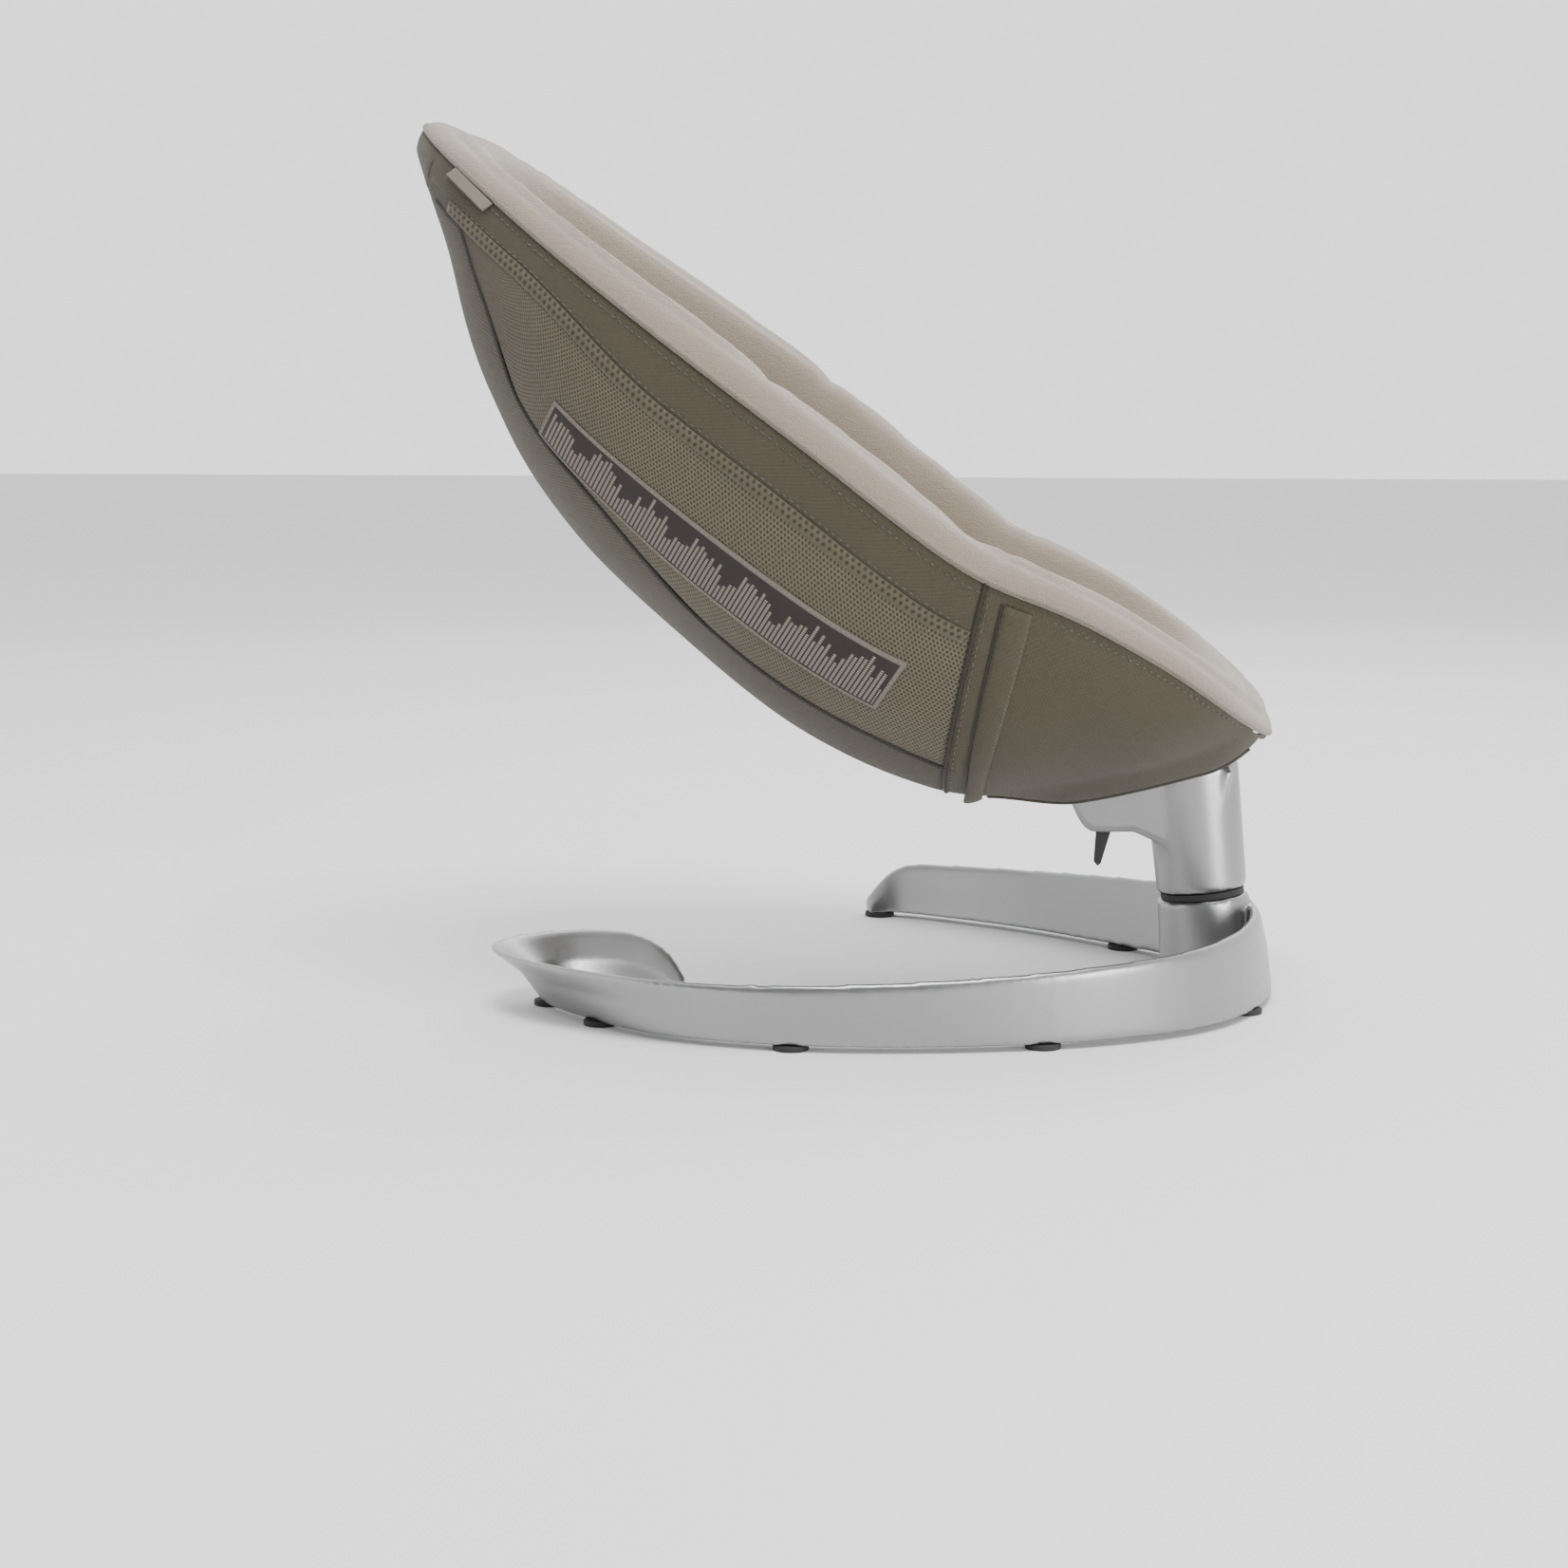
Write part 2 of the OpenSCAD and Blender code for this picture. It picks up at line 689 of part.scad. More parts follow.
module foot_cover() {
    color("darkkhaki")
    difference() {
        on_seat()
        loft([for (k = eased(0, 1, 16)) skin_ring(sling_end, -1, k, -soft_gap, 0, 180, 22, 0, sling_t)],
            thin = true, flip = true);
        translate([pivot_x - cover_open, -cover_slot / 2, pivot_z - 60])
        cube([cover_open + 140, cover_slot, 92]);
    }
}

// Folded strips beside the slanting seam, one on each side, from under the rim down to the foot opening
strip_w = 17;
strip_from = 3;
strip_to = 62;

module seam_strip() {
    color("olive")
    on_seat()
    for (side = [0, 1])
    mirror([0, side, 0])
    loft(
        [for (k = [0:2]) skin_ring(-1, -1, 0, -16 - k * strip_w / 2, strip_from, strip_to, 12, -1.8, -0.4)],
        thin = true
    );
}

// Liner: crowned rim over the frame, then down into the seat. It is built of closed loops round the
// seat's oval, from the middle of its underside, out over the rim and in to the middle of its face.
liner_gap = 1.5;
rim_w = 42;
LOOP_POINTS = 48;

function crown(s) = rim_crown * (0.45 + 0.55 * sin(180 * max(0, min(1, s / seat_l))));

// Point of an oval moved in by an inset and shrunk towards the seat's middle, [s, y]
function loop_point(k, inset, share = 1) =
    let (a = 360 * (k + 0.5) / LOOP_POINTS, x = cos(a) * (seat_l / 2 - inset))
    [seat_l / 2 + share * x, sign(sin(a)) * share * outer_half(seat_l / 2 + x * 0.99999, inset)];

function bowl_share(s, y, inset) =
    let (w = max(outer_half(s, inset), 1)) pow(max(0, 1 - pow(min(1, abs(y) / w), 2.5)), 0.4);

function smooth(k) = let (c = max(0, min(1, k))) c * c * (3 - 2 * c);

function face_z(s, y, share) =
    let (top = seam_z(s) + crown(s) * 0.8, low = seam_z(s) - sling_depth(s) + pad_t)
    top - (top - low) * bowl_share(s, y, rim_w) * smooth((1 - share) / 0.14);

function under_z(s, y, share) =
    let (top = seam_z(s) - 0.8)
    top - (sling_depth(s) - 0.8) * bowl_share(s, y, under_in) * smooth((1 - share) / 0.1);

// Depth of the liner's underside; it rises over the cross bar at the foot end
foot_deck = pad_t + 4;
deck_slope = 1.3;
function sling_depth(s) =
    let (deck = foot_deck + deck_slope * max(0, s - bar_s - tube_r - 6))
    min(max(belly(s) + seam_z(s) - sling_t - liner_gap, foot_deck), deck);
under_in = frame_in + tube_r + 5;

SHARES = [0.04, 0.3, 0.55, 0.75, 0.88, 0.95, 0.985, 1];
LOOP = [0:LOOP_POINTS - 1];
// The rim's section from the seam up over the crown: how far in, and share of the crown's height
RIM = [[1, -0.04], [0, 0.05], [2, 0.45], [8, 0.85], [18, 1], [30, 0.97]];

function face_loop(share) =
    [for (k = LOOP) let (q = loop_point(k, rim_w, share)) [-q[0], q[1], face_z(q[0], q[1], share)]];
function under_loop(share) =
    [for (k = LOOP) let (q = loop_point(k, under_in, share)) [-q[0], q[1], under_z(q[0], q[1], share)]];
function rim_loop(inset, rise) =
    [for (k = LOOP) let (q = loop_point(k, inset)) [-q[0], q[1], seam_z(q[0]) + rise * crown(q[0])]];

module liner_pad() {
    color("tan")
    on_seat()
    loft(concat(
        [for (share = SHARES) under_loop(share)],
        [for (r = RIM) rim_loop(r[0], r[1])],
        [for (i = [len(SHARES) - 1:-1:0]) face_loop(SHARES[i])]
    ));
}

// Height of the liner's upper face at a place along and across the seat
function liner_face(s, y) =
    let (w = outer_half(s, rim_w), mid = seat_l / 2)
    face_z(s, y, max(abs(y) / w, abs(s - mid) / (mid - rim_w)));

strap_w = 25;
strap_t = 1.6;
strap_lift = 3.4;
crotch_l = 0.095 * seat_l;
buckle_s = 0.4 * seat_l;
buckle_w = 44;
buckle_len = 38;
buckle_t = 15;
buckle_z = liner_face(buckle_s, 0) + 3.6;

// A strap laid on the liner; it runs across the seat (lengthwise = false) or along it
module strap(from, to, place, n, lengthwise) {
    on_seat()
    loft([
        for (q = steps(from, to, n))
        let (over = strap_lift + strap_t)
        let (e = [[-0.5, strap_lift], [0.5, strap_lift], [0.5, over], [-0.5, over]])
        [for (c = e)
            let (off = place + c[0] * strap_w)
            lengthwise ? [-q, off, liner_face(q, off) + c[1]] : [-off, q, liner_face(off, q) + c[1]]]
    ], flip = !lengthwise);
}

module crotch_strap() {
    color("gray") strap(buckle_s - crotch_l, buckle_s - buckle_len / 2 - 1, 0, 8, true);
}

module waist_straps() {
    color("gray")
    for (side = [0, 1])
    mirror([0, side, 0])
    strap(buckle_w / 2 + 14, 104, buckle_s, 10, false);
}

button_l = 14;
button_w = 12;
button_z = 8.5;
slot_deep = 13;

module on_buckle() {
    on_seat() translate([-buckle_s, 0, buckle_z]) children();
}

module buckle_body() {
    color("black")
    on_buckle()
    difference() {
        translate([-buckle_len / 2, -buckle_w / 2, 0]) cube([buckle_len, buckle_w, buckle_t]);
        for (side = [0, 1])
        mirror([0, side, 0])
        translate([-buckle_len / 2 + 8, buckle_w / 2 - slot_deep, 4])
        cube([buckle_len - 16, slot_deep + cut, 7]);
        translate([-button_l / 2 - 0.4, -button_w / 2 - 0.4, 4])
        cube([button_l + 0.8, button_w + 0.8, buckle_t]);
    }
}

module buckle_tongues() {
    color("black")
    on_buckle()
    for (side = [-1, 1])
    mirror([0, side < 0 ? 1 : 0, 0])
    translate([0, buckle_w / 2, 0])
    difference() {
        union() {
            translate([-buckle_len / 2 + 8.5, -12, 5]) cube([buckle_len - 17, 14, 5]);
            translate([-buckle_len / 2 + 2, 1, 2]) cube([buckle_len - 4, 11, 9]);
        }
        translate([-13, 5, 0]) cube([26, 4, 20]);
    }
}

module button_spring() {
    color("lightgray") on_buckle() translate([0, 0, 4]) ring(4, 3, button_z - 4);
}

module buckle_button() {
    color("firebrick")
    on_buckle()
    translate([-button_l / 2, -button_w / 2, button_z])
    cube([button_l, button_w, buckle_t - button_z + 1.5]);
}

// Patch with plain bars on the mesh side, and a plain tab under the rim
label_from = 0.313 * seat_l;
label_to = 0.713 * seat_l;
tab_from = 0.868 * seat_l;
tab_to = 0.925 * seat_l;

module side_label() {
    color("black")
    on_seat()
    mirror([0, 1, 0])
    loft([
        for (k = steps(0, 1, 14))
        let (s = lerp(label_from, label_to, k))
        skin_ring(s, s, 0, 0, lerp(20.5, 26.5, k), lerp(37.5, 40.5, k), 4, -2.1, -1.1)
    ], thin = true, flip = true);
}

module fabric_tab() {
    color("beige")
    on_seat()
    mirror([0, 1, 0])
    loft(
        [for (s = steps(tab_from, tab_to, 4)) skin_ring(s, s, 0, 0, 1, 10, 3, -1.6, -0.4)],
        thin = true, flip = true
    );
}

base_casting();
rubber_feet();
foot_screws();
lower_bush();
upper_bush();
thrust_washer();
joint_seal();
end_washer();
shaft_circlip();
socket_plug();
leg_casting();
swivel_shaft();
stop_pin();
recline_pin();
lever_pin();
lever_spring();
release_lever();
seat_hub();
hub_bushes();
head_tube();
foot_tube();
tube_couplers();
cross_bar();
frame_saddles();
saddle_screws();
liner_pad();
side_band_left();
side_band_right();
mesh_sling();
foot_cover();
seam_strip();
side_label();
fabric_tab();
crotch_strap();
waist_straps();
buckle_body();
buckle_tongues();
button_spring();
buckle_button();
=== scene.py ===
"""Looks of a baby bouncer seat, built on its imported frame: fabrics, padding, cast metal and trims."""

import json
import logging
import math
from collections.abc import Callable, Iterable, Sequence
from dataclasses import dataclass, field
from enum import Enum

import bmesh
import bpy
from mathutils import Matrix, Vector, noise
from mathutils.kdtree import KDTree


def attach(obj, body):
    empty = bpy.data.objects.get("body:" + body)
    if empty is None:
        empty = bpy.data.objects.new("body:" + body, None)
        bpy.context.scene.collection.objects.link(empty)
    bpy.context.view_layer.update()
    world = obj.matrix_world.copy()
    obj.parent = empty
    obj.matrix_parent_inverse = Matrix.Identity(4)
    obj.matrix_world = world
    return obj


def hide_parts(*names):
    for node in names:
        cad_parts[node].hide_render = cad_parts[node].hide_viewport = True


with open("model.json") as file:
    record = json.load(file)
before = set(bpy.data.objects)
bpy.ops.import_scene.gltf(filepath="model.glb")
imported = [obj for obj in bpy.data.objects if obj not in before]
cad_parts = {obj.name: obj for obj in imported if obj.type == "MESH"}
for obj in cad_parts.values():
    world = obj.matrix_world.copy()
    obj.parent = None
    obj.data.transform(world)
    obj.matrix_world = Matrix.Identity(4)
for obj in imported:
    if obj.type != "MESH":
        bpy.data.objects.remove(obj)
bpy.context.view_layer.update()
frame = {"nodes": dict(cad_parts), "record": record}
LOG = logging.getLogger("bouncer")

Place = Callable[[float, float], Vector]
Rows = tuple[tuple[float, float], ...]


class Side(Enum):
    """The two long sides of the seat, as the sign of Y."""

    LEFT = 1
    RIGHT = -1


class Body(Enum):
    """The moving bodies that pieces ride on."""

    BASE = "base"
    LEG = "leg"
    LEVER = "lever"
    SEAT = "seat"
    BUTTON = "button"


def smooth(k: float) -> float:
    """Return k held between 0 and 1 and eased at both ends."""
    c = max(0.0, min(1.0, k))
    return c * c * (3 - 2 * c)


def lerp(a: float, b: float, k: float) -> float:
    """Return the value a share k of the way from a to b."""
    return a + (b - a) * k


def curve_at(rows: Rows, x: float) -> float:
    """Read a Catmull-Rom curve.

    Args:
        rows: Pairs of place and value, by rising place.
        x: Where to read it.

    Returns:
        The value at x.
    """
    i = 0
    while i < len(rows) - 2 and x >= rows[i + 1][0]:
        i += 1
    f = max(0.0, min(1.0, (x - rows[i][0]) / (rows[i + 1][0] - rows[i][0])))
    a, b = rows[max(i - 1, 0)][1], rows[i][1]
    c, d = rows[i + 1][1], rows[min(i + 2, len(rows) - 1)][1]
    return 0.5 * (2 * b + (c - a) * f + (2 * a - 5 * b + 4 * c - d) * f * f + (3 * b - a - 3 * c + d) * f**3)


# ---------------------------------------------------------------- the seat's form


@dataclass(frozen=True)
class SeatForm:
    """The seat's surfaces, in metres: places run from its foot tip, s, across it, y, and square to its rim, t."""

    length: float = 0.784
    width: float = 0.400
    depth: float = 0.206
    end_r: float = 0.140
    tilt: float = math.radians(35.3)
    foot: tuple[float, float, float] = (0.322, 0.0, 0.199)
    pad: float = 0.016
    crown: float = 0.020
    rim_w: float = 0.042
    skin: float = 0.003
    under_in: float = 0.029
    power: float = 0.8
    bar_s: float = 0.062
    buckle_s: float = 0.3136
    ease: float = 0.015
    band_w: tuple[float, float] = (0.037, 0.022)
    foot_from: float = 0.215
    foot_lean: float = 0.084
    belly_rows: Rows = (
        (0, 0.08), (0.09, 0.47), (0.2, 0.86), (0.37, 1), (0.56, 0.96), (0.71, 0.835),
        (0.83, 0.59), (0.89, 0.37), (0.955, 0.195), (1, 0.09),
    )
    seam_rows: Rows = (
        (0, -0.004), (0.1, 0.001), (0.22, -0.006), (0.31, -0.022), (0.5, -0.017), (0.8, -0.012), (1, -0.003),
    )
    panel_rows: Rows = (
        (0.2, 51.5), (0.3, 49), (0.48, 50), (0.57, 45), (0.65, 42), (0.75, 40), (0.81, 30), (0.86, 24), (0.94, 12),
    )

    def place(self, s: float, y: float, t: float) -> Vector:
        """Return a place on the seat in the object's frame."""
        c, n = math.cos(self.tilt), math.sin(self.tilt)
        return Vector((self.foot[0] - s * c + t * n, y, self.foot[2] + s * n + t * c))

    def local(self, p: Vector) -> tuple[float, float, float]:
        """Return the s, y and t of a place in the object's frame.

        Args:
            p: The place.

        Returns:
            Its place along, across and square to the rim.
        """
        c, n = math.cos(self.tilt), math.sin(self.tilt)
        x, z = p.x - self.foot[0], p.z - self.foot[2]
        return -x * c + z * n, p.y, x * n + z * c

    def up(self) -> Vector:
        """Return the direction square to the rim."""
        return Vector((math.sin(self.tilt), 0, math.cos(self.tilt)))

    def eased(self, rows: Rows, s: float) -> float:
        """Return a row's value at a place along the seat, averaged over a short way to ease its bends."""
        k = s / self.length
        return sum(curve_at(rows, k + step * self.ease) * 0.2 for step in range(-2, 3))

    def seam(self, s: float) -> float:
        """Return the height of the side seam."""
        return self.eased(self.seam_rows, s)

    def belly(self, s: float) -> float:
        """Return the depth of the outer cover under the rim plane."""
        return self.eased(self.belly_rows, s) * self.depth

    def ripple(self, s: float, angle: float, side: Side) -> float:
        """Return how far the cloth stands off its even form: slack folds, deepest half way down the sides.

        Args:
            s: Place along the seat.
            angle: Degrees round the section.
            side: Which side angle 0 is on.

        Returns:
            The distance, positive outwards.
        """
        turn = angle if side is Side.LEFT else 180 - angle
        at = Vector((s * 9, turn * 0.035 + s * 7, 4.0))
        return 0.0016 * noise.noise(at) * math.sin(math.radians(min(2 * min(turn, 180 - turn), 90)))

    def half(self, s: float, inset: float = 0) -> float:
        """Return the seat's half width, moved in by an inset.

        Args:
            s: Place along the seat.
            inset: How far inside the outer edge.

        Returns:
            Half of the width there.
        """
        le, w, r = self.length - 2 * inset, self.width / 2 - inset, self.end_r - inset
        x, a = min(abs(s - inset - le / 2), le / 2), le / 2 - r
        big = (a * a + w * w - r * r) / (2 * (w - r))
        if x <= big * a / (big - r):
            return math.sqrt(big * big - x * x) - (big - w)
        return math.sqrt(max(0.0, r * r - (x - a) ** 2))

    def cover(self, s: float, angle: float, out: float = 0, side: Side = Side.LEFT) -> Vector:
        """Return a place on the outer cover.

        Args:
            s: Place along the seat.
            angle: Degrees round the section, from 0 at the rim on one side to 90 underneath.
            out: How far outside the cover's face.
            side: Which side angle 0 is on.

        Returns:
            The place in the object's frame.
        """
        out += self.ripple(s, angle, side)
        w = max(self.half(s) + out, 0.001)
        d = max(self.belly(s) + self.seam(s) + out, 0.002)
        c, n = math.cos(math.radians(angle)), max(math.sin(math.radians(angle)), 0)
        y = math.copysign(w * abs(c) ** self.power, c) * side.value
        return self.place(s, y, self.seam(s) - 0.001 - d * n**self.power)

    def foot_line(self, angle: float) -> float:
        """Return where the slanting seam of the foot section lies, by the angle round the section."""
        n = max(math.sin(math.radians(angle)), 0) ** self.power
        return self.length * (self.foot_from + self.foot_lean * (1 - n))

    def band_angle(self, s: float) -> float:
        """Return the angle at which the solid side band ends and the mesh starts.

        Args:
            s: Place along the seat.

        Returns:
            Degrees round the section.
        """
        drop = lerp(*self.band_w, smooth((s / self.length - 0.62) / 0.2))
        d = self.belly(s) + self.seam(s)
        return 86 if d <= drop * 1.01 else min(86, math.degrees(math.asin((drop / d) ** (1 / self.power))))

    def panel_angle(self, s: float) -> float:
        """Return the angle of the dark seam between the side mesh and the bottom panel."""
        return curve_at(self.panel_rows, s / self.length)

    def crown_at(self, s: float) -> float:
        """Return how high the padded rim stands over the seam."""
        return self.crown * (0.45 + 0.55 * math.sin(math.pi * max(0, min(1, s / self.length))))

    def bowl_depth(self, s: float) -> float:
        """Return the depth of the liner's underside under the seam.

        Args:
            s: Place along the seat.

        Returns:
            The depth, kept clear of the cross bar at the foot end.
        """
        base = self.pad + 0.004
        deck = base + 1.3 * max(0, s - self.bar_s - 0.014)
        return min(max(self.belly(s) + self.seam(s) - self.skin - 0.0015, base), deck)

    def loop(self, turn: float, inset: float, share: float = 1) -> tuple[float, float]:
        """Return the s and y of a point of the seat's oval.

        Args:
            turn: Share of a turn round the oval.
            inset: How far inside the outer edge.
            share: How far from the seat's middle, from 0 to 1 at the inset oval.

        Returns:
            The place along and across the seat.
        """
        a = 2 * math.pi * turn
        x = math.cos(a) * (self.length / 2 - inset)
        y = math.copysign(self.half(self.length / 2 + x * 0.99999, inset), math.sin(a))
        return self.length / 2 + share * x, share * y

    def bowl(self, s: float, y: float, inset: float) -> float:
        """Return the share of the bowl's depth across a section."""
        w = max(self.half(s, inset), 0.001)
        return max(0.0, 1 - min(1, abs(y) / w) ** 2.5) ** 0.4

    def face_t(self, s: float, y: float, share: float) -> float:
        """Return the height of the liner's upper face.

        Args:
            s: Place along the seat.
            y: Place across it.
            share: Share of the way from its middle to the rim.

        Returns:
            The height, square to the rim.
        """
        top = self.seam(s) + self.crown_at(s) * 0.8
        low = self.seam(s) - self.bowl_depth(s) + self.pad
        return top - (top - low) * self.bowl(s, y, self.rim_w) * smooth((1 - share) / 0.14)

    def under_t(self, s: float, y: float, share: float) -> float:
        """Return the height of the liner's underside."""
        top = self.seam(s) - 0.0008
        return top - (self.bowl_depth(s) - 0.0008) * self.bowl(s, y, self.under_in) * smooth((1 - share) / 0.1)

    def face(self, s: float, y: float, lift: float = 0) -> Vector:
        """Return a place over the liner's upper face.

        Args:
            s: Place along the seat.
            y: Place across it.
            lift: Height over the face.

        Returns:
            The place in the object's frame.
        """
        w, mid = self.half(s, self.rim_w), self.length / 2
        share = max(abs(y) / w, abs(s - mid) / (mid - self.rim_w))
        return self.place(s, y, self.face_t(s, y, share) + lift)


# ---------------------------------------------------------------- mesh tools


class Maker:
    """Makes mesh objects, with their places in their meshes."""

    @staticmethod
    def from_bmesh(name: str, bm: bmesh.types.BMesh, rounded: bool = True) -> bpy.types.Object:
        """Turn a bmesh into an object and free it.

        Args:
            name: The piece's name.
            bm: The finished bmesh.
            rounded: Whether its faces shade smoothly.

        Returns:
            The new object.
        """
        mesh = bpy.data.meshes.new(name)
        bm.to_mesh(mesh)
        bm.free()
        mesh.polygons.foreach_set("use_smooth", [rounded] * len(mesh.polygons))
        piece = bpy.data.objects.new(name, mesh)
        bpy.context.scene.collection.objects.link(piece)
        return piece

    @classmethod
    def mapped(
        cls, name: str, cells: tuple[int, int], place: Place, size: tuple[float, float],
        inside: Vector | None = None, closed: bool = False,
    ) -> bpy.types.Object:
        """Make a sheet by laying a flat grid on a surface; its UV map is its flat cut, in metres.

        Args:
            name: The piece's name.
            cells: Cells along and across.
            place: Gives the place for shares along and across.
            size: Flat length and width, for the UV map.
            inside: A point that the faces look away from.
            closed: Whether its edges meet, so that they are joined.

        Returns:
            The new object.
        """
        bm = bmesh.new()
        bmesh.ops.create_grid(bm, x_segments=cells[0], y_segments=cells[1], size=0.5)
        cut = bm.loops.layers.uv.new("cut")
        for face in bm.faces:
            for loop in face.loops:
                co = loop.vert.co
                loop[cut].uv = ((co.x + 0.5) * size[0], (co.y + 0.5) * size[1])
        for vert in bm.verts:
            vert.co = place(vert.co.x + 0.5, vert.co.y + 0.5)
        if closed:
            bmesh.ops.remove_doubles(bm, verts=bm.verts[:], dist=1e-6)
            bmesh.ops.recalc_face_normals(bm, faces=bm.faces[:])
        bm.normal_update()
        if inside is not None:
            away = sum(f.normal.dot(f.calc_center_median() - inside) * f.calc_area() for f in bm.faces)
            if away < 0:
                bmesh.ops.reverse_faces(bm, faces=bm.faces[:])
        return cls.from_bmesh(name, bm)

    @staticmethod
    def thicken(piece: bpy.types.Object, thickness: float, inward: bool = True) -> None:
        """Give a sheet its thickness.

        Args:
            piece: The sheet.
            thickness: Its thickness.
            inward: Whether it grows behind its faces.
        """
        wall = piece.modifiers.new("thickness", "SOLIDIFY")
        wall.thickness = thickness
        wall.offset = -1 if inward else 1
        wall.use_even_offset = False

    @classmethod
    def tube(cls, name: str, path: Sequence[Vector], radius: float, closed: bool = False) -> bpy.types.Object:
        """Make a round tube along a path.

        Args:
            name: The piece's name.
            path: Points along its middle.
            radius: Its radius.
            closed: Whether the path closes on itself.

        Returns:
            The new object.
        """
        line = bpy.data.curves.new(name, "CURVE")
        line.dimensions = "3D"
        line.bevel_depth = radius
        line.bevel_resolution = 2
        line.use_fill_caps = not closed
        spline = line.splines.new("POLY")
        spline.points.add(len(path) - 1)
        for point, place in zip(spline.points, path):
            point.co = (*place, 1)
        spline.use_cyclic_u = closed
        rough = bpy.data.objects.new(name + "_line", line)
        bpy.context.scene.collection.objects.link(rough)
        mesh = bpy.data.meshes.new_from_object(rough.evaluated_get(bpy.context.evaluated_depsgraph_get()))
        bpy.data.objects.remove(rough)
        bpy.data.curves.remove(line)
        mesh.name = name
        bm = bmesh.new()
        bm.from_mesh(mesh)
        bpy.data.meshes.remove(mesh)
        bmesh.ops.remove_doubles(bm, verts=bm.verts[:], dist=1e-6)
        bmesh.ops.recalc_face_normals(bm, faces=bm.faces[:])
        return cls.from_bmesh(name, bm)

    @classmethod
    def stitches(
        cls, name: str, paths: Iterable[Sequence[Vector]], pitch: float = 0.0062,
        length: float = 0.0040, radius: float = 0.00055,
    ) -> bpy.types.Object:
        """Make rows of sewing stitches.

        Args:
            name: The piece's name.
            paths: The lines that they run along.
            pitch: Distance from one stitch to the next.
            length: Length of a stitch.
            radius: Radius of the thread.

        Returns:
            The new object.
        """
        bm = bmesh.new()
        for path in paths:
            gone, due = 0.0, pitch / 2
            for a, b in zip(path, path[1:]):
                step = (b - a).length
                while step > 0 and due <= gone + step:
                    at = a.lerp(b, (due - gone) / step)
                    turn = (b - a).to_track_quat("X", "Z").to_matrix().to_4x4()
                    shape = Matrix.Diagonal((length / 2, radius, radius, 1))
                    bmesh.ops.create_icosphere(
                        bm, subdivisions=1, radius=1, matrix=Matrix.Translation(at) @ turn @ shape
                    )
                    due += pitch
                gone += step
        return cls.from_bmesh(name, bm)

    @classmethod
    def softened(cls, name: str, node: str, width: float, segments: int = 2) -> bpy.types.Object:
        """Copy a CAD node and round its sharp edges.

        Args:
            name: The new piece's name.
            node: The node it stands for.
            width: Width of the rounding.
            segments: Faces across the rounding.

        Returns:
            The new object.
        """
        bm = bmesh.new()
        bm.from_mesh(frame["nodes"][node].data)
        bmesh.ops.remove_doubles(bm, verts=bm.verts[:], dist=1e-5)
        bmesh.ops.dissolve_limit(bm, angle_limit=math.radians(1), verts=bm.verts[:], edges=bm.edges[:])
        sharp = [e for e in bm.edges if len(e.link_faces) == 2 and e.calc_face_angle(0) > math.radians(28)]
        bmesh.ops.bevel(
            bm, geom=sharp, offset=width, offset_type="OFFSET", segments=segments, profile=0.5,
            affect="EDGES", clamp_overlap=True, material=-1,
        )
        bm.normal_update()
        piece = cls.from_bmesh(name, bm)
        piece.data.set_sharp_from_angle(angle=math.radians(40))
        return piece

    @classmethod
    def cast(cls, name: str, node: str, voxel: float, rounds: int) -> bpy.types.Object:
        """Copy a CAD node as a casting: one skin, with small fillets at its edges and corners.

        Args:
            name: The new piece's name.
            node: The node it stands for.
            voxel: Size of its cells.
            rounds: How often it is smoothed.

        Returns:
            The new object.
        """
        bm = bmesh.new()
        bm.from_mesh(frame["nodes"][node].data)
        bmesh.ops.remove_doubles(bm, verts=bm.verts[:], dist=1e-5)
        rough = cls.from_bmesh(name + "_rough", bm)
        cells = rough.modifiers.new("cells", "REMESH")
        cells.mode = "VOXEL"
        cells.voxel_size = voxel
        soften = rough.modifiers.new("soften", "SMOOTH")
        soften.factor = 0.5
        soften.iterations = rounds
        mesh = bpy.data.meshes.new_from_object(rough.evaluated_get(bpy.context.evaluated_depsgraph_get()))
        bpy.data.objects.remove(rough)
        bm = bmesh.new()
        bm.from_mesh(mesh)
        bpy.data.meshes.remove(mesh)
        return cls.from_bmesh(name, bm)


def finish_piece(
    piece: bpy.types.Object, body: Body, finish: bpy.types.Material, slot: str, replaces: Sequence[str] = ()
) -> bpy.types.Object:
    """Dress a piece and give it its body.

    Args:
        piece: The new piece.
        body: The body it rides on.
        finish: Its material.
        slot: The record's material slot; not used.
        replaces: The CAD nodes it stands for.

    Returns:
        The same piece.
    """
    piece.data.materials.clear()
    piece.data.materials.append(finish)
    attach(piece, body.value)
    if replaces:
        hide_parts(*replaces)
    LOG.info("%s: %d faces, on %s", piece.name, len(piece.data.polygons), body.value)
    return piece


def mesh_area(piece: bpy.types.Object) -> float:
    """Return the area of a sheet's mesh, in square metres."""
    return sum(p.area for p in piece.data.polygons)


# ---------------------------------------------------------------- finishes


Nodes = bpy.types.NodeTree
Socket = bpy.types.NodeSocket
Sockets = Sequence[tuple[str, str]]
Colour = tuple[float, float, float]


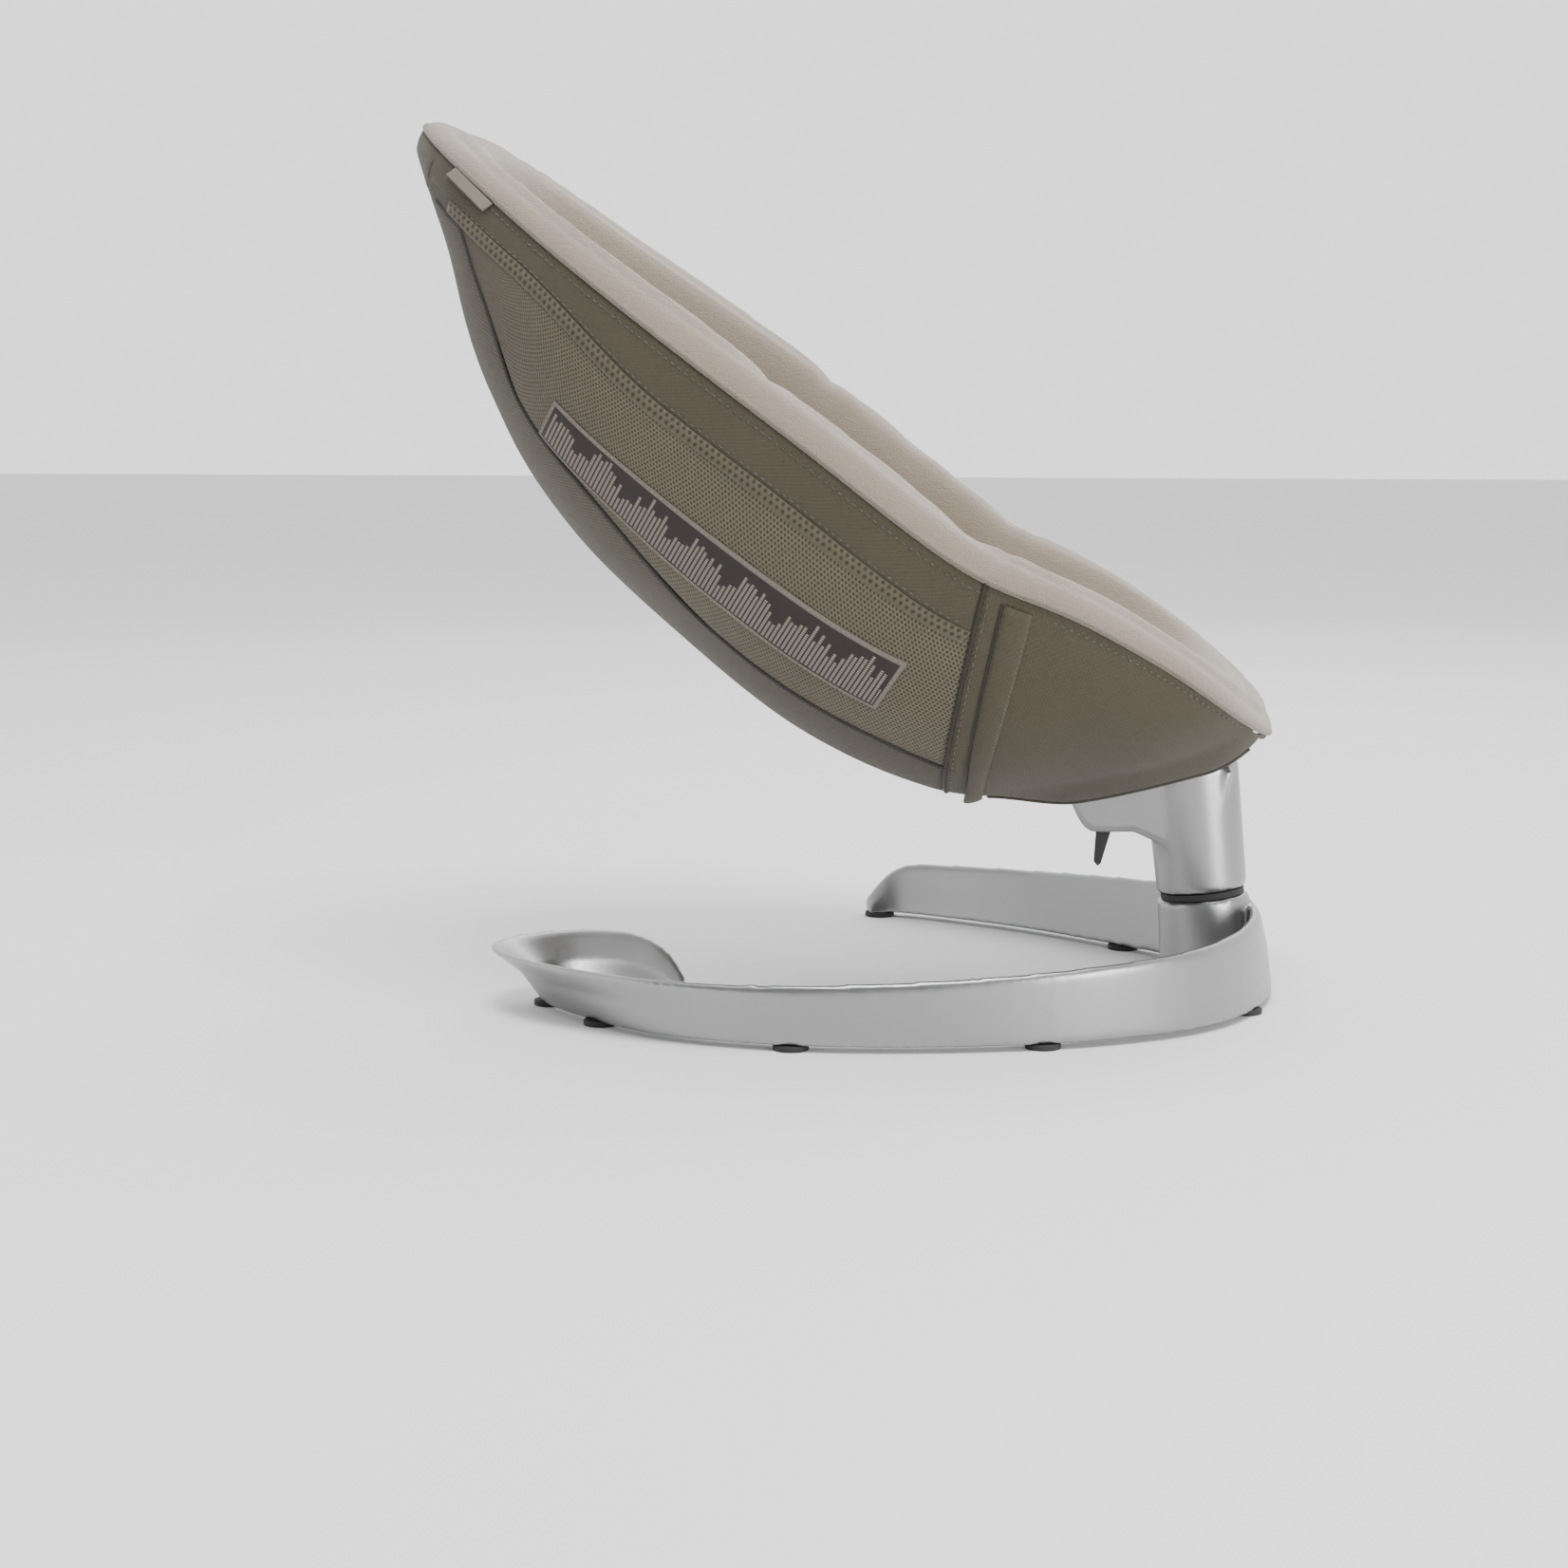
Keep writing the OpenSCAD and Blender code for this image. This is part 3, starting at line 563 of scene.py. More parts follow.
class Graph:
    """Short ways to add and link shader nodes in one node tree."""

    def __init__(self, tree: Nodes) -> None:
        """Keep the tree.

        Args:
            tree: The node tree to add to.
        """
        self.tree = tree

    def add(self, kind: str, **settings: object) -> bpy.types.ShaderNode:
        """Add a node and set its settings.

        Args:
            kind: The node's type, without its ShaderNode prefix.
            **settings: Attributes to set.

        Returns:
            The node.
        """
        node = self.tree.nodes.new("ShaderNode" + kind)
        for name, value in settings.items():
            setattr(node, name, value)
        return node

    def feed(self, socket: Socket, value: Socket | float | tuple) -> None:
        """Link a socket, or set its value.

        Args:
            socket: The input.
            value: An output to link, or a plain value.
        """
        if isinstance(value, bpy.types.NodeSocket):
            self.tree.links.new(value, socket)
        else:
            socket.default_value = value

    def math(self, operation: str, a: Socket | float, b: Socket | float = 0.0, c: Socket | float = 0.0) -> Socket:
        """Add a Math node.

        Args:
            operation: What it does.
            a: Its first value.
            b: Its second value.
            c: Its third value.

        Returns:
            The node's output.
        """
        node = self.add("Math", operation=operation)
        for socket, value in zip(node.inputs, (a, b, c)):
            self.feed(socket, value)
        return node.outputs[0]

    def blend(self, share: Socket | float, a: Socket | float | tuple, b: Socket | float | tuple) -> Socket:
        """Mix two colours.

        Args:
            share: Share of the second colour.
            a: The first colour.
            b: The second colour.

        Returns:
            The mixed colour.
        """
        node = self.add("Mix", data_type="RGBA")
        self.feed(node.inputs["Factor"], share)
        self.feed(node.inputs[6], a)
        self.feed(node.inputs[7], b)
        return node.outputs[2]

    def remap(self, value: Socket, low: float, high: float, to_low: float, to_high: float) -> Socket:
        """Map a range of values onto another.

        Args:
            value: What is mapped.
            low: Start of its range.
            high: End of its range.
            to_low: What the start becomes.
            to_high: What the end becomes.

        Returns:
            The mapped value.
        """
        node = self.add("MapRange")
        for socket, given in zip(node.inputs, (value, low, high, to_low, to_high)):
            self.feed(socket, given)
        return node.outputs[0]

    def noise(self, vector: Socket, scale: Socket | float, detail: float = 3.0) -> Socket:
        """Add a noise.

        Args:
            vector: Its coordinates.
            scale: Cells in a metre.
            detail: How many finer layers it has.

        Returns:
            The noise, from 0 to 1.
        """
        node = self.add("TexNoise")
        self.feed(node.inputs["Vector"], vector)
        self.feed(node.inputs["Scale"], scale)
        node.inputs["Detail"].default_value = detail
        return node.outputs[0]


class Effects:
    """The shader node groups that several finishes share, each built once."""

    def __init__(self) -> None:
        """Build every group."""
        self.mottle = self._mottle()
        self.weave = self._weave()
        self.holes = self._holes()
        self.wear_and_shade = self._wear_and_shade()

    @staticmethod
    def _group(name: str, inputs: Sockets, outputs: Sockets) -> tuple[Nodes, Graph, dict, dict]:
        """Start a group.

        Args:
            name: The group's name.
            inputs: Names and socket types of its inputs.
            outputs: Names and socket types of its outputs.

        Returns:
            The tree, its graph, its input sockets and its output sockets.
        """
        tree = bpy.data.node_groups.new(name, "ShaderNodeTree")
        for label, kind in inputs:
            tree.interface.new_socket(label, in_out="INPUT", socket_type=kind)
        for label, kind in outputs:
            tree.interface.new_socket(label, in_out="OUTPUT", socket_type=kind)
        graph = Graph(tree)
        start, end = tree.nodes.new("NodeGroupInput"), tree.nodes.new("NodeGroupOutput")
        return tree, graph, {s.name: s for s in start.outputs}, {s.name: s for s in end.inputs}

    def _mottle(self) -> Nodes:
        """Uneven dye: a broad and a fine unevenness.

        Returns:
            The group.
        """
        tree, g, given, out = self._group(
            "uneven_dye", [("Vector", "NodeSocketVector"), ("Scale", "NodeSocketFloat")],
            [("Broad", "NodeSocketFloat"), ("Fine", "NodeSocketFloat")],
        )
        g.feed(out["Broad"], g.remap(g.noise(given["Vector"], given["Scale"], 2), 0.3, 0.7, 0, 1))
        fine = g.noise(given["Vector"], g.math("MULTIPLY", given["Scale"], 40.0), 4)
        g.feed(out["Fine"], g.remap(fine, 0.25, 0.75, 0, 1))
        return tree

    def _weave(self) -> Nodes:
        """Plain weave on a flat cut: threads over and under each other, and a mask of the gaps between threads for
        painted shade.

        Returns:
            The group.
        """
        tree, g, given, out = self._group(
            "plain_weave", [("Vector", "NodeSocketVector"), ("Threads", "NodeSocketFloat")],
            [("Height", "NodeSocketFloat"), ("GapShade", "NodeSocketFloat")],
        )
        parts = g.add("SeparateXYZ")
        g.feed(parts.inputs[0], given["Vector"])
        turn = g.math("MULTIPLY", given["Threads"], math.pi)
        u, v = (g.math("MULTIPLY", parts.outputs[i], turn) for i in (0, 1))
        over = g.math("GREATER_THAN", g.math("MULTIPLY", g.math("SINE", u), g.math("SINE", v)), 0.0)
        warp, weft = (g.math("ABSOLUTE", g.math("SINE", x)) for x in (u, v))
        under = g.math("SUBTRACT", 1.0, over)
        picked = g.math("ADD", g.math("MULTIPLY", over, warp), g.math("MULTIPLY", under, weft))
        g.feed(out["Height"], g.math("SQRT", picked))
        g.feed(out["GapShade"], g.remap(g.math("MULTIPLY", warp, weft), 0.0, 0.35, 1, 0))
        return tree

    def _holes(self) -> Nodes:
        """Open mesh: round holes in staggered rows.

        Returns:
            The group.
        """
        tree, g, given, out = self._group(
            "mesh_holes", [("Vector", "NodeSocketVector"), ("Count", "NodeSocketFloat"), ("Size", "NodeSocketFloat")],
            [("Hole", "NodeSocketFloat"), ("Height", "NodeSocketFloat")],
        )
        parts = g.add("SeparateXYZ")
        g.feed(parts.inputs[0], given["Vector"])
        v = g.math("MULTIPLY", parts.outputs[1], g.math("MULTIPLY", given["Count"], 1.1547))
        row = g.math("FLOOR", v)
        shift = g.math("MULTIPLY", g.math("MODULO", row, 2.0), 0.5)
        u = g.math("ADD", g.math("MULTIPLY", parts.outputs[0], given["Count"]), shift)
        du = g.math("SUBTRACT", g.math("FRACT", u), 0.5)
        dv = g.math("MULTIPLY", g.math("SUBTRACT", g.math("FRACT", v), 0.5), 0.866)
        far = g.math("SQRT", g.math("ADD", g.math("MULTIPLY", du, du), g.math("MULTIPLY", dv, dv)))
        rim = g.math("SUBTRACT", far, given["Size"])
        g.feed(out["Hole"], g.remap(rim, -0.06, 0.06, 1, 0))
        g.feed(out["Height"], g.remap(rim, -0.1, 0.2, 0, 1))
        return tree

    def _wear_and_shade(self) -> Nodes:
        """Edge wear and painted shade: raised edges rubbed paler, and corners and hollows darkened as painted shade.

        Returns:
            The group.
        """
        tree, g, given, out = self._group(
            "edge_wear_and_hollow_shade", [("Vector", "NodeSocketVector"), ("Sharpness", "NodeSocketFloat")],
            [("Edge", "NodeSocketFloat"), ("HollowShade", "NodeSocketFloat")],
        )
        point = g.add("NewGeometry").outputs["Pointiness"]
        patchy = g.remap(g.noise(given["Vector"], 60.0, 3), 0.35, 0.65, 0.5, 1)
        edge = g.remap(g.math("MULTIPLY", g.math("SUBTRACT", point, 0.5), given["Sharpness"]), 0.1, 1.0, 0, 1)
        # Painted shade: concave places, found by their pointiness, for darkening the colour.
        hollow_shade = g.remap(g.math("MULTIPLY", g.math("SUBTRACT", 0.5, point), given["Sharpness"]), 0.1, 1.0, 0, 1)
        g.feed(out["Edge"], g.math("MULTIPLY", edge, patchy))
        g.feed(out["HollowShade"], hollow_shade)
        return tree


@dataclass(frozen=True)
class Finish:
    """What every finish has.

    Attributes:
        name: The material's name.
        colour: Its main colour, linear.
        tint: Its second colour, for unevenness.
        rough: Its roughness.
    """

    name: str
    colour: Colour
    tint: Colour
    rough: float

    def begin(self) -> tuple[bpy.types.Material, Graph, bpy.types.ShaderNode]:
        """Make a plain material in the main colour.

        Returns:
            The material, its graph and its shader.
        """
        material = bpy.data.materials.new(self.name)
        material.use_nodes = True
        graph = Graph(material.node_tree)
        shader = material.node_tree.nodes["Principled BSDF"]
        shader.inputs["Roughness"].default_value = self.rough
        shader.inputs["Base Color"].default_value = (*self.colour, 1)
        return material, graph, shader

    def use(self, graph: Graph, group: Nodes, vector: Socket, **values: Socket | float) -> bpy.types.ShaderNode:
        """Place a shared effect.

        Args:
            graph: The material's graph.
            group: The shared node group.
            vector: Its coordinates.
            **values: Its other inputs.

        Returns:
            The group's node.
        """
        node = graph.add("Group", node_tree=group)
        graph.feed(node.inputs["Vector"], vector)
        for label, value in values.items():
            graph.feed(node.inputs[label], value)
        return node

    def bump(self, graph: Graph, shader: bpy.types.ShaderNode, height: Socket, depth: float) -> None:
        """Give the surface its relief.

        Args:
            graph: The material's graph.
            shader: The material's shader.
            height: The relief's height, from 0 to 1.
            depth: Its real depth in metres.
        """
        relief = graph.add("Bump")
        relief.inputs["Strength"].default_value = 1.0
        relief.inputs["Distance"].default_value = depth
        graph.feed(relief.inputs["Height"], height)
        graph.feed(shader.inputs["Normal"], relief.outputs[0])


@dataclass(frozen=True)
class Woven(Finish):
    """A woven cloth with a flat cut: threads with painted shade in the gaps between them, uneven dye and a soft
    sheen.
    """

    threads: float = 620.0
    relief: float = 0.00035
    sheen: float = 0.12

    def make(self, effects: Effects) -> bpy.types.Material:
        """Build the material.

        Args:
            effects: The shared node groups.

        Returns:
            The material.
        """
        material, g, shader = self.begin()
        shader.inputs["Sheen Weight"].default_value = self.sheen
        shader.inputs["Sheen Roughness"].default_value = 0.5
        cut = g.add("UVMap", uv_map="cut").outputs[0]
        solid = g.add("TexCoord").outputs["Object"]
        weave = self.use(g, effects.weave, cut, Threads=self.threads)
        dye = self.use(g, effects.mottle, solid, Scale=9.0)
        # Painted shade: a darker copy of the colour, blended into the gaps between the threads below.
        painted_shade = tuple(0.55 * c for c in self.colour)
        tone = g.blend(g.math("MULTIPLY", dye.outputs["Broad"], 0.5), (*self.colour, 1), (*self.tint, 1))
        tone = g.blend(g.math("MULTIPLY", dye.outputs["Fine"], 0.22), tone, (*self.tint, 1))
        tone = g.blend(g.math("MULTIPLY", weave.outputs["GapShade"], 0.5), tone, (*painted_shade, 1))
        g.feed(shader.inputs["Base Color"], tone)
        g.feed(shader.inputs["Roughness"], g.remap(dye.outputs["Fine"], 0, 1, self.rough - 0.05, self.rough + 0.05))
        self.bump(g, shader, weave.outputs["Height"], self.relief)
        return material


@dataclass(frozen=True)
class Knit(Finish):
    """A fine knit over padding, without a flat cut: a close grain with painted shade in its recesses, faint slubs and
    sheen.
    """

    grain: float = 900.0
    relief: float = 0.0004
    sheen: float = 0.45

    def make(self, effects: Effects) -> bpy.types.Material:
        """Build the material.

        Args:
            effects: The shared node groups.

        Returns:
            The material.
        """
        material, g, shader = self.begin()
        shader.inputs["Sheen Weight"].default_value = self.sheen
        shader.inputs["Sheen Roughness"].default_value = 0.55
        solid = g.add("TexCoord").outputs["Object"]
        dye = self.use(g, effects.mottle, solid, Scale=7.0)
        cells = g.add("TexVoronoi", feature="F1")
        g.feed(cells.inputs["Vector"], solid)
        cells.inputs["Scale"].default_value = self.grain
        slubs = g.add("Mapping")
        g.feed(slubs.inputs["Vector"], solid)
        slubs.inputs["Scale"].default_value = (40, 420, 420)
        slub = g.remap(g.noise(slubs.outputs[0], 1.0, 3), 0.35, 0.7, 0, 1)
        tone = g.blend(g.math("MULTIPLY", dye.outputs["Broad"], 0.45), (*self.colour, 1), (*self.tint, 1))
        tone = g.blend(g.math("MULTIPLY", slub, 0.22), tone, (*self.tint, 1))
        # Painted shade: the recesses between the knit's cells are darkened; the same mask sets their depth in the
        # bump.
        loop_gap_depth_and_shade = g.remap(cells.outputs["Distance"], 0.25, 0.75, 0, 1)
        tone = g.blend(g.math("MULTIPLY", loop_gap_depth_and_shade, 0.28), tone, (*(0.6 * c for c in self.colour), 1))
        g.feed(shader.inputs["Base Color"], tone)
        g.feed(shader.inputs["Roughness"], g.remap(slub, 0, 1, self.rough - 0.06, self.rough + 0.05))
        self.bump(g, shader, g.math("SUBTRACT", g.math("MULTIPLY", slub, 0.5), loop_gap_depth_and_shade), self.relief)
        return material


@dataclass(frozen=True)
class OpenMesh(Finish):
    """A spacer mesh with a flat cut: staggered holes, coloured near black as painted shade seen through them."""

    count: float = 330.0
    hole: float = 0.3
    # Painted shade colour of the holes.
    hole_shade: Colour = (0.018, 0.015, 0.009)

    def make(self, effects: Effects) -> bpy.types.Material:
        """Build the material.

        Args:
            effects: The shared node groups.

        Returns:
            The material.
        """
        material, g, shader = self.begin()
        shader.inputs["Sheen Weight"].default_value = 0.12
        cut = g.add("UVMap", uv_map="cut").outputs[0]
        solid = g.add("TexCoord").outputs["Object"]
        holes = self.use(g, effects.holes, cut, Count=self.count, Size=self.hole)
        dye = self.use(g, effects.mottle, solid, Scale=8.0)
        tone = g.blend(g.math("MULTIPLY", dye.outputs["Broad"], 0.5), (*self.colour, 1), (*self.tint, 1))
        tone = g.blend(g.math("MULTIPLY", dye.outputs["Fine"], 0.25), tone, (*self.tint, 1))
        # Painted shade: the holes take a near-black colour for the shade seen through them.
        tone = g.blend(g.math("MULTIPLY", holes.outputs["Hole"], 0.9), tone, (*self.hole_shade, 1))
        g.feed(shader.inputs["Base Color"], tone)
        g.feed(shader.inputs["Roughness"], g.remap(dye.outputs["Fine"], 0, 1, self.rough - 0.05, self.rough + 0.05))
        self.bump(g, shader, holes.outputs["Height"], 0.0006)
        return material


@dataclass(frozen=True)
class Barred(Finish):
    """A woven patch with a flat cut: a plain border and rising bars of short dashes, without lettering."""

    mark: Colour = (0.34, 0.30, 0.25)
    cut: tuple[float, float] = (0.314, 0.045)
    edge: float = 0.0032
    pitch: float = 0.0034
    dash: float = 0.0017

    def make(self, effects: Effects) -> bpy.types.Material:
        """Build the material.

        Args:
            effects: The shared node groups.

        Returns:
            The material.
        """
        material, g, shader = self.begin()
        cut = g.add("UVMap", uv_map="cut").outputs[0]
        solid = g.add("TexCoord").outputs["Object"]
        weave = self.use(g, effects.weave, cut, Threads=900.0)
        dye = self.use(g, effects.mottle, solid, Scale=14.0)
        parts = g.add("SeparateXYZ")
        g.feed(parts.inputs[0], cut)
        u, v = parts.outputs[0], parts.outputs[1]
        along = g.math("ABSOLUTE", g.math("SUBTRACT", u, self.cut[0] / 2))
        over = g.math("ABSOLUTE", g.math("SUBTRACT", v, self.cut[1] / 2))
        past = (g.math("SUBTRACT", along, self.cut[0] / 2), g.math("SUBTRACT", over, self.cut[1] / 2))
        margin = g.math("MAXIMUM", *past)
        border = g.math("GREATER_THAN", margin, -self.edge)
        inner = g.math("LESS_THAN", margin, -self.edge - 0.0012)
        column = g.math("FLOOR", g.math("DIVIDE", u, self.pitch))
        lot = g.add("TexWhiteNoise", noise_dimensions="1D")
        g.feed(lot.inputs["W"], column)
        wave = g.math("ABSOLUTE", g.math("SINE", g.math("MULTIPLY", column, 0.23)))
        swell = g.math("ADD", g.math("MULTIPLY", wave, 0.30), 0.32)
        share = g.math("ADD", g.math("MULTIPLY", lot.outputs[0], 0.28), swell)
        tall = g.math("GREATER_THAN", v, g.math("MULTIPLY", g.math("SUBTRACT", 1.0, share), self.cut[1]))
        bar = g.math("LESS_THAN", g.math("FRACT", g.math("DIVIDE", u, self.pitch)), 0.62)
        step = g.math("ADD", g.math("DIVIDE", v, self.dash), g.math("MULTIPLY", lot.outputs[0], 5.0))
        dash = g.math("LESS_THAN", g.math("FRACT", step), 0.68)
        bars = g.math("MULTIPLY", g.math("MULTIPLY", tall, inner), g.math("MULTIPLY", bar, dash))
        marks = g.math("MAXIMUM", g.math("MULTIPLY", border, 0.42), g.math("MULTIPLY", bars, 0.85))
        tone = g.blend(g.math("MULTIPLY", dye.outputs["Fine"], 0.3), (*self.colour, 1), (*self.tint, 1))
        tone = g.blend(marks, tone, (*self.mark, 1))
        g.feed(shader.inputs["Base Color"], tone)
        g.feed(shader.inputs["Roughness"], g.remap(marks, 0, 1, self.rough, self.rough + 0.1))
        self.bump(g, shader, g.math("ADD", weave.outputs["Height"], marks), 0.00025)
        return material


@dataclass(frozen=True)
class Metal(Finish):
    """Satin metal: a fine cast or drawn grain, rubbed paler at its edges, with painted shade in its hollows."""

    grain: float = 1400.0
    relief: float = 0.00006
    stretch: tuple[float, float, float] = (1, 1, 1)
    wear_and_shade: float = 9.0

    def make(self, effects: Effects) -> bpy.types.Material:
        """Build the material.

        Args:
            effects: The shared node groups.

        Returns:
            The material.
        """
        material, g, shader = self.begin()
        shader.inputs["Metallic"].default_value = 1.0
        solid = g.add("TexCoord").outputs["Object"]
        drawn = g.add("Mapping")
        g.feed(drawn.inputs["Vector"], solid)
        drawn.inputs["Scale"].default_value = self.stretch
        grain = g.noise(drawn.outputs[0], self.grain, 3)
        dye = self.use(g, effects.mottle, solid, Scale=11.0)
        wear_and_shade = self.use(g, effects.wear_and_shade, solid, Sharpness=self.wear_and_shade)
        pale = tuple(min(1.0, c * 1.25) for c in self.colour)
        tone = g.blend(g.math("MULTIPLY", dye.outputs["Broad"], 0.4), (*self.colour, 1), (*self.tint, 1))
        tone = g.blend(g.math("MULTIPLY", wear_and_shade.outputs["Edge"], 0.6), tone, (*pale, 1))
        # Painted shade: hollows and inside corners darkened.
        painted_shade = tuple(0.55 * c for c in self.colour)
        tone = g.blend(g.math("MULTIPLY", wear_and_shade.outputs["HollowShade"], 0.5), tone, (*painted_shade, 1))
        g.feed(shader.inputs["Base Color"], tone)
        rough = g.remap(dye.outputs["Fine"], 0, 1, self.rough - 0.05, self.rough + 0.06)
        g.feed(shader.inputs["Roughness"], g.math("SUBTRACT", rough, g.math("MULTIPLY", wear_and_shade.outputs["Edge"], 0.08)))
        self.bump(g, shader, grain, self.relief)
        return material


@dataclass(frozen=True)
class Moulded(Finish):
    """Moulded plastic or rubber: a leathery grain and slight rubbing at its edges."""

    grain: float = 1100.0
    relief: float = 0.00012
    wear_and_shade: float = 4.0

    def make(self, effects: Effects) -> bpy.types.Material:
        """Build the material.

        Args:
            effects: The shared node groups.

        Returns:
            The material.
        """
        material, g, shader = self.begin()
        solid = g.add("TexCoord").outputs["Object"]
        pits = g.add("TexVoronoi", feature="SMOOTH_F1")
        g.feed(pits.inputs["Vector"], solid)
        pits.inputs["Scale"].default_value = self.grain
        dye = self.use(g, effects.mottle, solid, Scale=16.0)
        wear_and_shade = self.use(g, effects.wear_and_shade, solid, Sharpness=self.wear_and_shade)
        tone = g.blend(g.math("MULTIPLY", dye.outputs["Broad"], 0.4), (*self.colour, 1), (*self.tint, 1))
        pale = tuple(c * 1.6 + 0.01 for c in self.colour)
        tone = g.blend(g.math("MULTIPLY", wear_and_shade.outputs["Edge"], 0.4), tone, (*pale, 1))
        g.feed(shader.inputs["Base Color"], tone)
        g.feed(shader.inputs["Roughness"], g.remap(dye.outputs["Fine"], 0, 1, self.rough - 0.07, self.rough + 0.07))
        self.bump(g, shader, pits.outputs["Distance"], self.relief)
        return material


class Wardrobe:
    """Every finish of the bouncer, made once."""

    def __init__(self) -> None:
        """Make the materials."""
        effects = Effects()
        self.liner = Knit("liner_knit", (0.300, 0.238, 0.178), (0.245, 0.193, 0.142), 0.85).make(effects)
        self.piping = Knit("piping_knit", (0.170, 0.134, 0.094), (0.130, 0.102, 0.070), 0.8).make(effects)
        self.side = Woven("side_weave", (0.062, 0.051, 0.028), (0.044, 0.036, 0.019), 0.85).make(effects)
        self.binding = Woven(
            "binding_weave", (0.048, 0.040, 0.022), (0.034, 0.028, 0.015), 0.8, threads=900,
        ).make(effects)
        self.mesh = OpenMesh("side_mesh", (0.125, 0.104, 0.064), (0.092, 0.076, 0.046), 0.85).make(effects)
        # The bottom panel's mesh is darker than the side mesh: painted shade for the underside.
        self.under = OpenMesh(
            "bottom_mesh_painted_shade", (0.085, 0.070, 0.042), (0.061, 0.050, 0.030), 0.85, count=300,
        ).make(effects)
        self.border = OpenMesh(
            "border_mesh", (0.094, 0.078, 0.047), (0.068, 0.057, 0.034), 0.85, count=190, hole=0.27,
        ).make(effects)
        self.tape = Woven(
            "seam_tape", (0.022, 0.018, 0.012), (0.030, 0.025, 0.017), 0.85, threads=900,
        ).make(effects)
        self.patch = Barred("patch_weave", (0.020, 0.014, 0.012), (0.030, 0.022, 0.019), 0.8).make(effects)
        self.tab = Woven(
            "tab_weave", (0.260, 0.228, 0.172), (0.21, 0.182, 0.136), 0.85, threads=900,
        ).make(effects)
        self.webbing = Woven(
            "webbing_weave", (0.080, 0.067, 0.046), (0.057, 0.048, 0.033), 0.75, threads=800, relief=0.0006,
        ).make(effects)
        self.thread = Knit(
            "thread", (0.200, 0.165, 0.112), (0.155, 0.128, 0.088), 0.8, grain=2500,
        ).make(effects)
        self.dark_thread = Knit(
            "dark_thread", (0.038, 0.032, 0.020), (0.032, 0.026, 0.016), 0.8, grain=2500,
        ).make(effects)
        self.cast = Metal("cast_satin", (0.34, 0.34, 0.342), (0.30, 0.30, 0.302), 0.33).make(effects)
        self.drawn = Metal(
            "drawn_tube", (0.66, 0.66, 0.66), (0.6, 0.6, 0.6), 0.34, stretch=(1, 0.08, 1),
        ).make(effects)
        self.zinc = Metal("zinc_plate", (0.62, 0.61, 0.58), (0.56, 0.55, 0.52), 0.3, grain=800).make(effects)
        self.bearing = Moulded("bearing_plastic", (0.16, 0.16, 0.155), (0.13, 0.13, 0.13), 0.45).make(effects)
        self.rubber = Moulded("foot_rubber", (0.020, 0.020, 0.020), (0.028, 0.027, 0.026), 0.75).make(effects)
        self.black = Moulded("grained_black", (0.018, 0.018, 0.019), (0.025, 0.025, 0.026), 0.45).make(effects)
        self.button = Moulded("button_red", (0.42, 0.045, 0.025), (0.36, 0.04, 0.02), 0.4).make(effects)


# ---------------------------------------------------------------- soft parts


